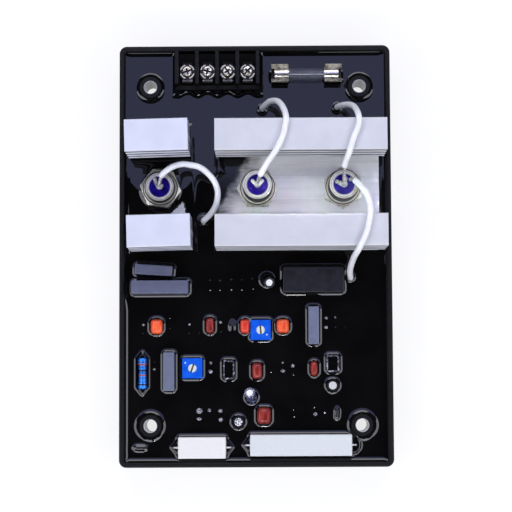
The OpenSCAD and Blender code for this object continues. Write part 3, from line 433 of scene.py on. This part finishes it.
# Electrolytics: dark sleeves, one mottled, and bright can tops, one pitted and one dull
cans = {"pitted": "electrolytic_4", "dull": "electrolytic_2", "reach": (3.6, 3.3),
    "leaning": [(5.3, -12.2, 2.6), (-2.2, -66.9, 2.6)]}  # feet of the two that lean, with their radius
sleeveBlack = surface("sleeveBlack", tone(16, 16, 19), tone(28, 28, 33), 260, rough=(0.18, 0.3), bump=0.2,
    bumpGrain=500, depth=0.0001)
sleeveMottled = surface("sleeveMottled", tone(16, 16, 28), tone(72, 76, 124), 800, rough=(0.16, 0.28),
    bump=0.5, bumpGrain=900, depth=0.0002)
tree = sleeveMottled.node_tree
coat(sleeveMottled, fade(tree, speckle(tree, 1100), 0.6, 0.66), Base_Color=tone(206, 209, 228))
canAluminium = surface("canAluminium", tone(233, 233, 232), tone(244, 244, 243), 420, metal=0.1,
    rough=(0.3, 0.45), bump=0.25, bumpGrain=900, depth=0.00005)
tree = canAluminium.node_tree
x, y = spot(tree)[:2]
pitted, dull = [
    fade(tree, away(tree, x, y, *plan(cans[kind])[:2]), *cans["reach"]) for kind in ("pitted", "dull")]
pits = both(tree, pitted, fade(tree, speckle(tree, 1300), 0.47, 0.55))
coat(canAluminium, pits, Base_Color=tone(92, 92, 102))
coat(canAluminium, dull, Base_Color=tone(205, 205, 203))

# Film resistor: painted shade down its sides, colour rings along its length
resistor = {"side": (1.0, 2.1), "blur": 0.12, "rings": [  # place, half width and colour
    (-50.2, 0.14, (12, 54, 128)), (-51.3, 0.34, (160, 66, 62)), (-52.4, 0.14, (12, 54, 128)),
    (-54.1, 0.34, (14, 18, 36)), (-55.2, 0.14, (12, 54, 128)), (-56.35, 0.3, (150, 76, 66)),
    (-57.6, 0.14, (12, 54, 128)), (-60.7, 0.34, (18, 26, 56))]}
resistorBlue = surface("resistorBlue", tone(26, 112, 208), tone(46, 146, 240), 300, rough=(0.16, 0.26),
    bump=0.2, bumpGrain=500, depth=0.0001)
tree = resistorBlue.node_tree
x, y = spot(tree)[:2]
across = off(tree, x, plan("film_resistor")[0])
# painted shade on the resistor's sides
coat(resistorBlue, fade(tree, across, *resistor["side"]), Base_Color=tone(10, 62, 142))
for stop, half, colour in resistor["rings"]:
    ring = fade(tree, off(tree, y, stop), half + resistor["blur"], half)
    coat(resistorBlue, ring, Base_Color=tone(*colour))
print("finishes mixed")

# Insulated leads, on the routes of the solids
leads = {"radius": 1.4, "routes": {
    "diode_left_lead": [
        (-43.5, 35.5, 34), (-41, 38, 35), (-37.5, 40, 35.5), (-33.5, 41, 35.5), (-29.5, 40.5, 35.5),
        (-25.5, 39.5, 35), (-22, 37, 34), (-19, 33.5, 32.5), (-17.5, 29.5, 30.5), (-17.5, 26, 28.5),
        (-18.5, 22.5, 26), (-21, 19, 23), (-24, 16.5, 20.5), (-24.5, 16.5, 18), (-24.5, 16.5, 16)],
    "diode_middle_lead": [
        (2.5, 35, 41), (6, 40.5, 45), (9.5, 45, 48), (12.5, 51, 48.2), (14, 56.5, 48.2), (14.5, 61, 48),
        (13, 66.5, 42), (10.5, 70.5, 34), (7, 71.5, 27), (4, 70, 20.5), (3.5, 69.5, 18.5), (3.5, 69.5, 16)],
    "thyristor_lead": [
        (41, 38.5, 42.5), (43, 44, 47.8), (45, 50.5, 48.2), (47.5, 57, 48.2), (47.5, 61.5, 47.8),
        (46, 67, 38), (43, 69.5, 29), (39.5, 70, 21), (39, 70, 18.5), (39, 70, 16)],
    "gate_lead": [
        (46, 32.5, 39), (49, 29, 42), (51.5, 24.5, 45.5), (52.5, 18.5, 48), (52, 13.5, 48.2),
        (50.5, 7.5, 48.2), (47.5, 1, 48), (45, -3.5, 40), (44, -8, 28), (44.5, -11, 20.5),
        (44.5, -11, 18.5), (44.5, -11, 16)]},
    "starts": {
        "diode_left_lead": (-44.5, 31.85, 31.7), "diode_middle_lead": (1.2, 31.85, 37.8),
        "thyristor_lead": (41.2, 31.85, 37.8), "gate_lead": (44.1, 33.25, 37.4)}}


def insulatedLead(node):
    route = leads["routes"][node]
    bpy.ops.curve.primitive_bezier_curve_add(location=(0, 0, 0))
    obj = bpy.context.object
    spline = obj.data.splines[0]
    spline.bezier_points.add(len(route) - 2)
    around = [leads["starts"][node]] + route + [route[-1]]
    for i, stop in enumerate(route):
        point = spline.bezier_points[i]
        point.handle_left_type = "FREE"
        point.handle_right_type = "FREE"
        pull = [(b - a) / 6 for a, b in zip(around[i], around[i + 2])]
        point.co = [v * mm for v in stop]
        point.handle_left = [(v - p) * mm for v, p in zip(stop, pull)]
        point.handle_right = [(v + p) * mm for v, p in zip(stop, pull)]
    obj.data.dimensions = "3D"
    obj.data.resolution_u = 8
    obj.data.bevel_depth = leads["radius"] * mm
    obj.data.bevel_resolution = 5
    obj.data.use_fill_caps = True
    active(obj)
    bpy.ops.object.convert(target="MESH")
    place(bpy.context.object, "insulated_" + node, leadWhite, "lead_white", node, smooth=60)


for leadNode in leads["routes"]:
    insulatedLead(leadNode)
print("leads laid")

# Resin, poured round everything: a fine grid lifted along the parts that stand in it
pour = {
    "level": 18.0, "cells": (256, 372), "fineRows": 242, "fineEnd": 0.5, "sunkLevel": 14.6,
    "bosses": [(sx * tray["hole"][0], sy * tray["hole"][1]) for sy in (-1, 1) for sx in (-1, 1)],
    "bossRadius": 5.7, "keepOut": 4.4,
    "creep": {  # rise and reach in mm
        "part": (0.75, 2.2), "west": (0.85, 2.4), "east": (0.5, 3.0), "north": (0.55, 1.7),
        "south": (0.85, 2.4), "lead": (0.65, 1.9), "strip": (0.5, 1.5), "boss": (0.95, 2.9),
        "topBoss": (0.6, 1.8)},
    "wetted": ((-26, -18), (1, 0.35)),  # share of the left wall's creep, by place along it
    "standing": [
        "film_capacitor_1", "film_capacitor_2", "film_capacitor_3", "film_capacitor_4", "block_capacitor",
        "voltage_trimmer_body", "stability_trimmer_body", "orange_capacitor_1", "orange_capacitor_2",
        "orange_capacitor_3", "red_capacitor_1", "red_capacitor_2", "red_capacitor_3", "red_capacitor_4",
        "dip_package_1", "dip_package_2", "ceramic_resistor_short", "ceramic_resistor_long"],
    "round": {  # corner of the resin's edge, by the first word of the name
        "film": 1.2, "block": 1.4, "voltage": 1.2, "stability": 1.2, "dip": 1.2, "orange": 2.4, "red": 1.8,
        "ceramic": 0.8},
    "askew": {"film_capacitor_1": (17.6, 4.8, -3.9)},  # true size and turn
    "wire": (3.0, 1.2),  # reach of the resin along a ceramic's wire, and its shoulder
    "bulge": [(2.2, -3.4), (3.6, -1.8), (4.0, 0), (3.6, 1.8), (2.2, 3.4)],  # round the long one's right wire
    "resistor": (0.2, 2.6, 0.6),  # beside the film resistor, past its ends, and its shoulder
    "blobs": [  # centre, half sizes and height of the soft lumps
        ((-11.0, -33.9), 1.6, 2.6, 0.9), ((37.8, -73.5), 1.3, 1.9, 0.9), ((37.6, -76.2), 1.2, 1.5, 0.8),
        ((-55.6, -90.2), 2.2, 1.5, 0.9), ((-52.6, -90.2), 2.0, 1.4, 0.8)],
    "ribs": (1.7, 0.8, 0.9),  # front of the strip: inset, middle and half height of its wave
    "smallSink": {
        "size": (30.5, 60), "film": 18.62, "creep": (0.62, 1.3), "hexRadius": 9.0, "hexCreep": (0.8, 1.3),
        "bare": [(-41.2, 18.5), (-32.8, 18.5), (-34.2, 25.2)], "bareLevel": 17.6},
    "largeSink": {
        "margin": 0.3, "bareLevel": 17.4, "film": 18.3, "swell": (0.75, 1.1), "creep": (0.5, 1.2),
        "rightEnd": (60.2, 31.25, 3.6, 60), "spill": [
            (-19, 17), (-16.6, 17), (-14.2, 24.5), (-12.6, 33), (-13.6, 38.5), (-8.4, 42), (-8.4, 47),
            (-19, 47)]}}
pour["width"], pour["length"] = plan("potting")[2:]
pour["bottom"] = levels("potting")[0]


def footprint(node):  # middle, size and turn of a box
    cx, cy, wide, long = plan(node)
    wide, long, turn = pour["askew"].get(node, (wide, long, 0))
    return cx, cy, wide, long, turn


def boxGap(x, y, cx, cy, wide, long, turn=0.0, corner=0.0):  # distance outside a rectangle, negative inside
    c, s = math.cos(math.radians(turn)), math.sin(math.radians(turn))
    u = np.abs((x - cx) * c + (y - cy) * s) - wide / 2 + corner
    v = np.abs((y - cy) * c - (x - cx) * s) - long / 2 + corner
    return np.hypot(np.maximum(u, 0), np.maximum(v, 0)) + np.minimum(np.maximum(u, v), 0) - corner


def discGap(x, y, cx, cy, r):
    return np.hypot(x - cx, y - cy) - r


def hullGap(x, y, points):  # distance outside a convex outline, points anticlockwise
    gap = np.full(x.shape, -1e9)
    near = np.full(x.shape, 1e9)
    for (ax, ay), (bx, by) in zip(points, points[1:] + points[:1]):
        ex, ey = bx - ax, by - ay
        size = math.hypot(ex, ey)
        gap = np.maximum(gap, ((x - ax) * ey - (y - ay) * ex) / size)
        t = np.clip(((x - ax) * ex + (y - ay) * ey) / size ** 2, 0, 1)
        near = np.minimum(near, np.hypot(x - ax - t * ex, y - ay - t * ey))
    return np.where(gap > 0, near, gap)


def swell(gap, rise, reach):  # falls away from an edge
    return rise * np.exp(-np.maximum(gap, 0) / reach)


def creptHeight(x, y):  # the resin's rise along walls and parts, and where a part hides it
    rises = []
    sunk = np.zeros(x.shape, bool)

    def stand(gap, kind, hide=0.7, inner=0.8, share=1.0):
        rise, reach = pour["creep"][kind]
        rises.append(share * rise * np.square(np.clip(1 - np.maximum(gap, -inner) / reach, 0, None)))
        np.logical_or(sunk, gap < -hide, out=sunk)

    stand(np.maximum(x + pour["width"] / 2, 0), "west", share=np.interp(y, *pour["wetted"]))
    stand(np.maximum(pour["width"] / 2 - x, 0), "east")
    stand(np.maximum(pour["length"] / 2 - y, 0), "north")
    stand(np.maximum(y + pour["length"] / 2, 0), "south")
    for node in pour["standing"]:
        cx, cy, wide, long, turn = footprint(node)
        stand(boxGap(x, y, cx, cy, wide, long, turn, pour["round"][node.split("_")[0]]), "part")
        if node.startswith("ceramic"):
            reach, shoulder = pour["wire"]
            half, tip, side = wide / 2, wide / 2 + reach, long / 2 - shoulder
            end = [(half + u, v) for u, v in pour["bulge"]] if node.endswith("long") else [(tip, 0)]
            outline = [(-tip, 0), (-half, -side), (half, -side), *end, (half, side), (-half, side)]
            stand(hullGap(x, y, [(cx + u, cy + v) for u, v in outline]), "lead", hide=99, inner=0.2)

    cx, cy, wide, long = plan("film_resistor")
    beside, past, shoulder = pour["resistor"]
    side, tip, neck = wide / 2 + beside, long / 2 + past, long / 2 - shoulder
    outline = [(0, -tip), (side, -neck), (side, neck), (0, tip), (-side, neck), (-side, -neck)]
    stand(hullGap(x, y, [(cx + u, cy + v) for u, v in outline]), "lead", hide=99, inner=0.3)
    np.logical_or(sunk, boxGap(x, y, cx, cy, wide, long) < 0, out=sunk)

    upright = [plan(cans[kind])[:3] for kind in ("pitted", "dull")]
    for cx, cy, r in cans["leaning"] + [(cx, cy, wide / 2) for cx, cy, wide in upright]:
        stand(discGap(x, y, cx, cy, r), "part", hide=0.8)
    for route in leads["routes"].values():
        stand(discGap(x, y, route[-1][0], route[-1][1], leads["radius"]), "lead", hide=0.5)
    for cx, cy in pour["bosses"]:
        stand(discGap(x, y, cx, cy, pour["bossRadius"]), "boss" if cy < 0 else "topBoss")

    cx, cy, wide, long = plan("terminal_block")
    inset, crest, half = pour["ribs"]
    front = cy - long / 2
    wave = front + inset - crest - half * np.cos((x - cx) / strip["pitch"] * 2 * math.pi)
    side = np.abs(x - cx) - wide / 2
    beyond = np.hypot(side, np.maximum(front - y, 0))
    stand(np.where(side < 0, np.maximum(wave - y, side), beyond), "strip")
    for node in ["fuse_clip_left", "fuse_clip_right"]:
        cx, cy, wide = plan(node)[:3]
        stand(boxGap(x, y, cx, cy, wide, fuse["clipFoot"]), "lead")
    return np.power(sum(np.power(r, 3) for r in rises), 1 / 3), sunk


def pouredHeight(x, y):
    rise, sunk = creptHeight(x, y)
    for (cx, cy), halfX, halfY, tall in pour["blobs"]:
        rise = rise + tall * np.exp(-((x - cx) / halfX) ** 2 - ((y - cy) / halfY) ** 2)
    z = pour["level"] + rise

    # small heat sink: covered by a film, but for one corner
    small = pour["smallSink"]
    cx, cy = plan("heatsink_small")[:2]
    film = boxGap(x, y, cx, cy, *small["size"], sinks["turn"]["heatsink_small"])
    z = np.where(film < 0, np.maximum(z, small["film"]), z + swell(film, *small["creep"]))
    z = np.where(hullGap(x, y, small["bare"]) < 0, small["bareLevel"], z)

    # large heat sink: the resin stays under the bare web, and runs over it on the left and at the right end
    large = pour["largeSink"]
    web = boxGap(x, y, *plan("heatsink_large"))
    cover = np.minimum(hullGap(x, y, large["spill"]), boxGap(x, y, *large["rightEnd"]))
    tall, reach = large["swell"]
    spilt = large["film"] + tall * (1 - np.exp(np.minimum(cover, 0) / reach))
    onWeb = np.where(cover > 0, large["bareLevel"], spilt)
    z = np.where(web < -large["margin"], onWeb, z + swell(web, *large["creep"]))

    cx, cy = plan("diode_left_base")[:2]
    z = z + swell(discGap(x, y, cx, cy, small["hexRadius"]), *small["hexCreep"]) * (film < 0)
    return np.where(sunk, pour["sunkLevel"], z)


bpy.ops.mesh.primitive_grid_add(x_subdivisions=pour["cells"][0], y_subdivisions=pour["cells"][1], size=1,
    location=(0, 0, pour["level"] * mm))
poured = bpy.context.object
poured.scale = (pour["width"] * mm, pour["length"] * mm, 1)
bpy.ops.object.transform_apply(location=True, rotation=True, scale=True)
points = np.empty(len(poured.data.vertices) * 3, np.float32)
poured.data.vertices.foreach_get("co", points)
points = points.reshape(-1, 3)
row = (points[:, 1] / mm / pour["length"] + 0.5) * pour["cells"][1]
ends = [-pour["length"] / 2, pour["fineEnd"], pour["length"] / 2]  # closer rows where the components stand
points[:, 1] = np.interp(row, [0, pour["fineRows"], pour["cells"][1]], ends) * mm
points[:, 2] = pouredHeight(points[:, 0].astype(float) / mm, points[:, 1].astype(float) / mm) * mm
poured.data.vertices.foreach_set("co", points.ravel())
pick(poured, lambda c, n: any(
    math.hypot(c.x / mm - bx, c.y / mm - by) < pour["keepOut"] for bx, by in pour["bosses"]))
bpy.ops.mesh.delete(type="FACE")
bpy.ops.mesh.select_mode(type="EDGE")
bpy.ops.mesh.select_all(action="DESELECT")
bpy.ops.mesh.select_non_manifold()
bpy.ops.mesh.extrude_region_move(TRANSFORM_OT_translate={"value": (0, 0, -10 * mm)})
bpy.ops.transform.resize(value=(1, 1, 0), center_override=(0, 0, pour["bottom"] * mm))
bpy.ops.mesh.fill(use_beauty=False)
bpy.ops.mesh.select_all(action="SELECT")
bpy.ops.mesh.normals_make_consistent(inside=False)
done()
place(poured, "poured_resin", resin, "resin", "potting", smooth=70)
print("resin poured:", len(poured.data.polygons), "faces")

# Solder joints that just break the resin: middle, half sizes and height
tinTip = surface("tinTip", tone(104, 105, 112), tone(228, 229, 234), 1800, metal=1.0, rough=(0.16, 0.3),
    bump=0.7, bumpGrain=1900, depth=0.0002)
tinLump = surface("tinLump", tone(20, 20, 23), tone(176, 177, 184), 1300, metal=0.3, rough=(0.2, 0.34),
    bump=1.0, bumpGrain=1500, depth=0.0004)
joints = {"sunk": 0.06, "rows": {
    "resin_humps": (resin, "resin", [
        (-21.5, -11.8, 0.6, 0.36, 0.36), (-16.8, -11.9, 0.7, 0.36, 0.36), (-11.5, -11.5, 0.7, 0.36, 0.36),
        (-6.6, -11.6, 0.55, 0.36, 0.36), (-1.5, -11.1, 0.7, 0.36, 0.36), (-53.1, -36.8, 0.4, 0.3, 0.25),
        (-40.4, -34.4, 0.35, 0.3, 0.25), (-31.5, -36.7, 0.4, 0.35, 0.25), (-26.4, -36.6, 0.4, 0.35, 0.25),
        (-16.5, -36.2, 0.4, 0.35, 0.25), (-47.6, -50.1, 0.5, 0.3, 0.3), (37.6, -29.9, 0.5, 0.35, 0.3)]),
    "solder_tips": (tinTip, "tinned_wire", [
        (-21.4, -16.6, 0.42, 0.36, 0.3), (-16.8, -16.6, 0.5, 0.32, 0.3), (-11.4, -16.4, 0.5, 0.4, 0.3),
        (-6.6, -16.5, 0.36, 0.4, 0.3), (-1.2, -16.0, 0.36, 0.3, 0.3), (-40.4, -29.7, 0.36, 0.28, 0.3),
        (7.0, -55.3, 0.36, 0.3, 0.3), (17.5, -56.5, 0.4, 0.36, 0.3), (37.5, -34.3, 0.3, 0.28, 0.3),
        (42.0, -34.3, 0.3, 0.28, 0.3), (17.4, -72.8, 0.3, 0.3, 0.3), (17.7, -76.1, 0.34, 0.36, 0.3),
        (27.2, -71.7, 0.34, 0.4, 0.3), (32.0, -74.3, 0.55, 0.45, 0.3)]),
    "solder_lumps": (tinLump, "tinned_wire", [
        (-52.8, -32.7, 0.7, 0.65, 0.4), (-31.2, -32.6, 0.6, 0.6, 0.4), (-16.6, -31.5, 0.75, 0.65, 0.4),
        (-47.6, -53.6, 0.75, 0.55, 0.4), (-21.2, -50.7, 0.7, 0.7, 0.4), (-21.4, -54.7, 1.1, 0.95, 0.45),
        (12.4, -50.6, 0.6, 0.55, 0.4), (12.6, -54.6, 1.1, 0.8, 0.45), (17.2, -52.3, 0.9, 0.85, 0.45),
        (33.0, -29.9, 0.8, 0.75, 0.45), (32.9, -34.2, 0.95, 0.85, 0.45), (37.3, -29.6, 0.5, 0.5, 0.35),
        (-26.7, -73.1, 1.5, 1.4, 0.6), (-26.7, -76.8, 1.2, 0.8, 0.5), (-21.9, -72.8, 0.9, 0.85, 0.4),
        (-16.8, -73.1, 1.0, 0.9, 0.45), (-16.7, -77.2, 1.0, 1.0, 0.45), (27.6, -74.8, 1.0, 0.95, 0.5)])}}


def jointRow(name):  # one dome, copied to every place
    finish, slot, spots = joints["rows"][name]
    bpy.ops.mesh.primitive_uv_sphere_add(segments=16, ring_count=10, radius=mm, location=(0, 0, 0))
    domes = [bpy.context.object]
    bpy.ops.object.mode_set(mode="EDIT")
    bpy.ops.mesh.select_all(action="SELECT")
    bpy.ops.mesh.bisect(plane_co=(0, 0, 0), plane_no=(0, 0, 1), use_fill=True, clear_inner=True)
    done()
    while len(domes) < len(spots):
        active(domes[0])
        bpy.ops.object.duplicate()
        domes.append(bpy.context.object)
    for dome, (cx, cy, halfX, halfY, tall) in zip(domes, spots):
        dome.scale = (halfX, halfY, tall)
        dome.location = (cx * mm, cy * mm, (pour["level"] - joints["sunk"]) * mm)
    active(domes[0])
    for dome in domes:
        dome.select_set(True)
    bpy.ops.object.join()
    place(bpy.context.object, name, finish, slot, smooth=70)


for jointName in joints["rows"]:
    jointRow(jointName)
print("solder joints set")

# Moulded boxes: a rounded edge and a sunk top, or one chamfer on the small packages
boxes = {"foot": 0.05, "edge": 0.45, "lip": 0.6, "lipSlope": 0.25, "sink": 0.03, "chamfer": 0.75, "list": {
    "film_capacitor_1": (filmGrey, "film_grey"), "film_capacitor_2": (filmGrey, "film_grey"),
    "film_capacitor_3": (filmPale, "film_grey"), "film_capacitor_4": (filmPale, "film_grey"),
    "block_capacitor": (blockBlack, "block_black"), "dip_package_1": (packageBlack, "block_black"),
    "dip_package_2": (packageBlack, "block_black"), "ceramic_resistor_short": (ceramicWhite, "ceramic_white"),
    "ceramic_resistor_long": (ceramicGrey, "ceramic_white")}}


def mouldedBox(node):
    finish, slot = boxes["list"][node]
    cx, cy, wide, long, turn = footprint(node)
    bottom, top = levels(node)
    bottom += boxes["foot"]
    bpy.ops.mesh.primitive_cube_add(size=1, location=(cx * mm, cy * mm, (top + bottom) / 2 * mm),
        rotation=(0, 0, math.radians(turn)))
    obj = bpy.context.object
    obj.scale = (wide * mm, long * mm, (top - bottom) * mm)
    bpy.ops.object.transform_apply(location=True, rotation=True, scale=True)
    if node.startswith("dip"):
        shape(obj, "BEVEL", width=boxes["chamfer"] * mm, segments=1, limit_method="ANGLE")
    else:
        shape(obj, "BEVEL", width=boxes["edge"] * mm, segments=3, limit_method="ANGLE")
        pick(obj, lambda c, n: n.z > 0.99)
        bpy.ops.mesh.inset(thickness=boxes["lip"] * mm)
        bpy.ops.mesh.inset(thickness=boxes["lipSlope"] * mm, depth=-boxes["sink"] * mm)
        done()
    place(obj, "moulded_" + node, finish, slot, node)


for boxNode in boxes["list"]:
    mouldedBox(boxNode)
print("boxes moulded")

# Dipped capacitors: a block drawn into a lump by its own coating
dips = {
    "orange_capacitor_1": dipOrange, "orange_capacitor_2": dipVermilion, "orange_capacitor_3": dipOrange,
    "red_capacitor_1": dipRed, "red_capacitor_2": dipRed, "red_capacitor_3": dipRed,
    "red_capacitor_4": dipRed}


def dippedLump(node):
    cx, cy, wide, long = plan(node)
    bottom, top = levels(node)
    middle = (cx * mm, cy * mm, (bottom + top) / 2 * mm)
    size = (wide * mm, long * mm, (top - bottom) * mm)
    bpy.ops.mesh.primitive_cube_add(size=1, location=middle)
    obj = bpy.context.object
    obj.scale = size
    bpy.ops.object.transform_apply(location=True, rotation=True, scale=True)
    pick(obj, lambda c, n: True)
    bpy.ops.mesh.subdivide(number_cuts=1)
    done()
    shape(obj, "SUBSURF", levels=4, render_levels=4)
    active(obj)
    # back to its size after the rounding
    obj.scale = [whole / shrunk for whole, shrunk in zip(size, obj.dimensions)]
    bpy.context.view_layer.update()
    bpy.ops.object.origin_set(type="ORIGIN_GEOMETRY")
    obj.location = middle
    slot = "dip_orange" if node.startswith("orange") else "dip_red"
    place(obj, "dipped_" + node, dips[node], slot, node, smooth=80)


for dipNode in dips:
    dippedLump(dipNode)
print("capacitors dipped")

# Finishes of the pieces that keep their solid
kept = {
    "tray": trayPlastic, "circuit_board": boardGreen, "terminal_block": stripPlastic,
    "terminal_plates": plateNickel, "clamp_washers": washerNickel, "terminal_screws": screwNickel,
    "fuse_clip_left": clipMetal, "fuse_clip_right": clipMetal, "fuse_cap_left": capMetal,
    "fuse_cap_right": capMetal, "fuse_tube": fuseGlass, "fuse_wire": tinnedWire, "resistor_wires": tinnedWire,
    "lead_tails": tinnedWire, "heatsink_small": smallSink, "heatsink_large": largeSink,
    "diode_left_base": deviceMetal, "diode_middle_base": deviceMetal, "thyristor_base": deviceMetal,
    "diode_left_lug": solder, "diode_middle_lug": solder, "thyristor_lug": solder, "gate_lug": solder,
    "stud_nuts": deviceMetal, "stud_washers": deviceMetal, "diode_left_seal": sealViolet,
    "diode_middle_seal": sealViolet, "thyristor_seal": sealViolet, "voltage_trimmer_body": trimmerBlue,
    "stability_trimmer_body": trimmerBlue, "voltage_trimmer_rotor": rotorWhite,
    "stability_trimmer_rotor": rotorWhite, "film_resistor": resistorBlue, "electrolytic_1": sleeveBlack,
    "electrolytic_2": sleeveBlack, "electrolytic_3": sleeveMottled, "electrolytic_4": sleeveBlack,
    "electrolytic_cans": canAluminium}
for node, finish in kept.items():
    nodes[node].data.materials.clear()
    nodes[node].data.materials.append(finish)
print("solids finished:", len(kept))

# Studio: pale floor, and a light tent with a dark lens opening overhead
studio = {
    "floor": 3.0, "floorLevel": -0.0003, "paper": 0.2, "glow": 0.8, "height": 0.75,
    "sky": [(0.0, 1.0), (0.12, 1.0), (0.2, 0.02)],  # height over the horizon and level
    "panels": {  # middle, size and radiance
        "eastPanel": ((0.685, -0.315), (0.53, 0.87), (2.75, 2.8, 3.1)),
        "westPanel": ((-0.685, -0.315), (0.53, 0.87), (2.75, 2.8, 3.1)),
        "southEastPanel": ((0.23, -0.76), (0.34, 0.5), (3.9, 3.95, 4.4)),
        "southWestPanel": ((-0.22, -0.76), (0.34, 0.5), (3.9, 3.95, 4.4)),
        "northPanel": ((0, 0.76), (0.9, 0.5), (3.2, 3.2, 3.5)),
        "cornicePanel": ((0, 0.317), (1.2, 0.374), (0.55, 0.6, 1.1)),
        "spark": ((0.02, -0.62), (0.05, 0.05), (60, 60, 60))},
    "fill": {  # a narrow lamp over the channel of the large heat sink
        "middle": (0.0252, 0.02825), "size": (0.08, 0.012), "tint": (0.89, 0.9, 1), "energy": 0.0034,
        "spread": 2}}
bpy.ops.mesh.primitive_plane_add(size=studio["floor"], location=(0, 0, studio["floorLevel"]))
floor = bpy.context.object
floor.name = "floor"
paper = bpy.data.materials.new("paper")
paper.use_nodes = True
tree = paper.node_tree
sheet = tree.nodes["Principled BSDF"]
sheet.inputs["Base Color"].default_value = (studio["paper"],) * 3 + (1,)
sheet.inputs["Roughness"].default_value = 0.9
sheet.inputs["Specular IOR Level"].default_value = 0.0
sheet.inputs["Emission Color"].default_value = (1, 1, 1, 1)
ray = tree.nodes.new("ShaderNodeLightPath").outputs  # the glow is only seen, and lights nothing
mirrored = sums(tree, "MAXIMUM", ray["Is Glossy Ray"], ray["Is Transmission Ray"])
seen = sums(tree, "MAXIMUM", ray["Is Camera Ray"], mirrored)
tree.links.new(sums(tree, "MULTIPLY", seen, studio["glow"]), sheet.inputs["Emission Strength"])
floor.data.materials.append(paper)

tent = bpy.data.worlds.new("tent")
scene.world = tent
tent.use_nodes = True
tree = tent.node_tree
tree.nodes.clear()
look = tree.nodes.new("ShaderNodeTexCoord")
sky = tree.nodes.new("ShaderNodeValToRGB")
sky.color_ramp.elements.new(0.5)
for element, (stop, level) in zip(sky.color_ramp.elements, studio["sky"]):
    element.position = stop
    element.color = (level, level, level, 1)
tree.links.new(apart(tree, look.outputs["Generated"])[2], sky.inputs["Fac"])
glow = tree.nodes.new("ShaderNodeBackground")
tree.links.new(sky.outputs["Color"], glow.inputs["Color"])
out = tree.nodes.new("ShaderNodeOutputWorld")
tree.links.new(glow.outputs[0], out.inputs["Surface"])


def areaLamp(name, middle, size, colour, energy):
    bpy.ops.object.light_add(type="AREA", location=(*middle, studio["height"]))
    lamp = bpy.context.object
    lamp.name = name
    lamp.visible_camera = False
    lamp.data.shape = "RECTANGLE"
    lamp.data.size, lamp.data.size_y = size
    lamp.data.color = colour
    lamp.data.energy = energy
    return lamp


for panelName, (middle, size, radiance) in studio["panels"].items():
    brightest = max(radiance)
    energy = 4 * size[0] * size[1] * brightest  # gives the panel that radiance
    areaLamp(panelName, middle, size, [v / brightest for v in radiance], energy)
fill = studio["fill"]
lamp = areaLamp("channelFill", fill["middle"], fill["size"], fill["tint"], fill["energy"])
lamp.visible_glossy = False
lamp.data.spread = math.radians(fill["spread"])
print("studio lit")
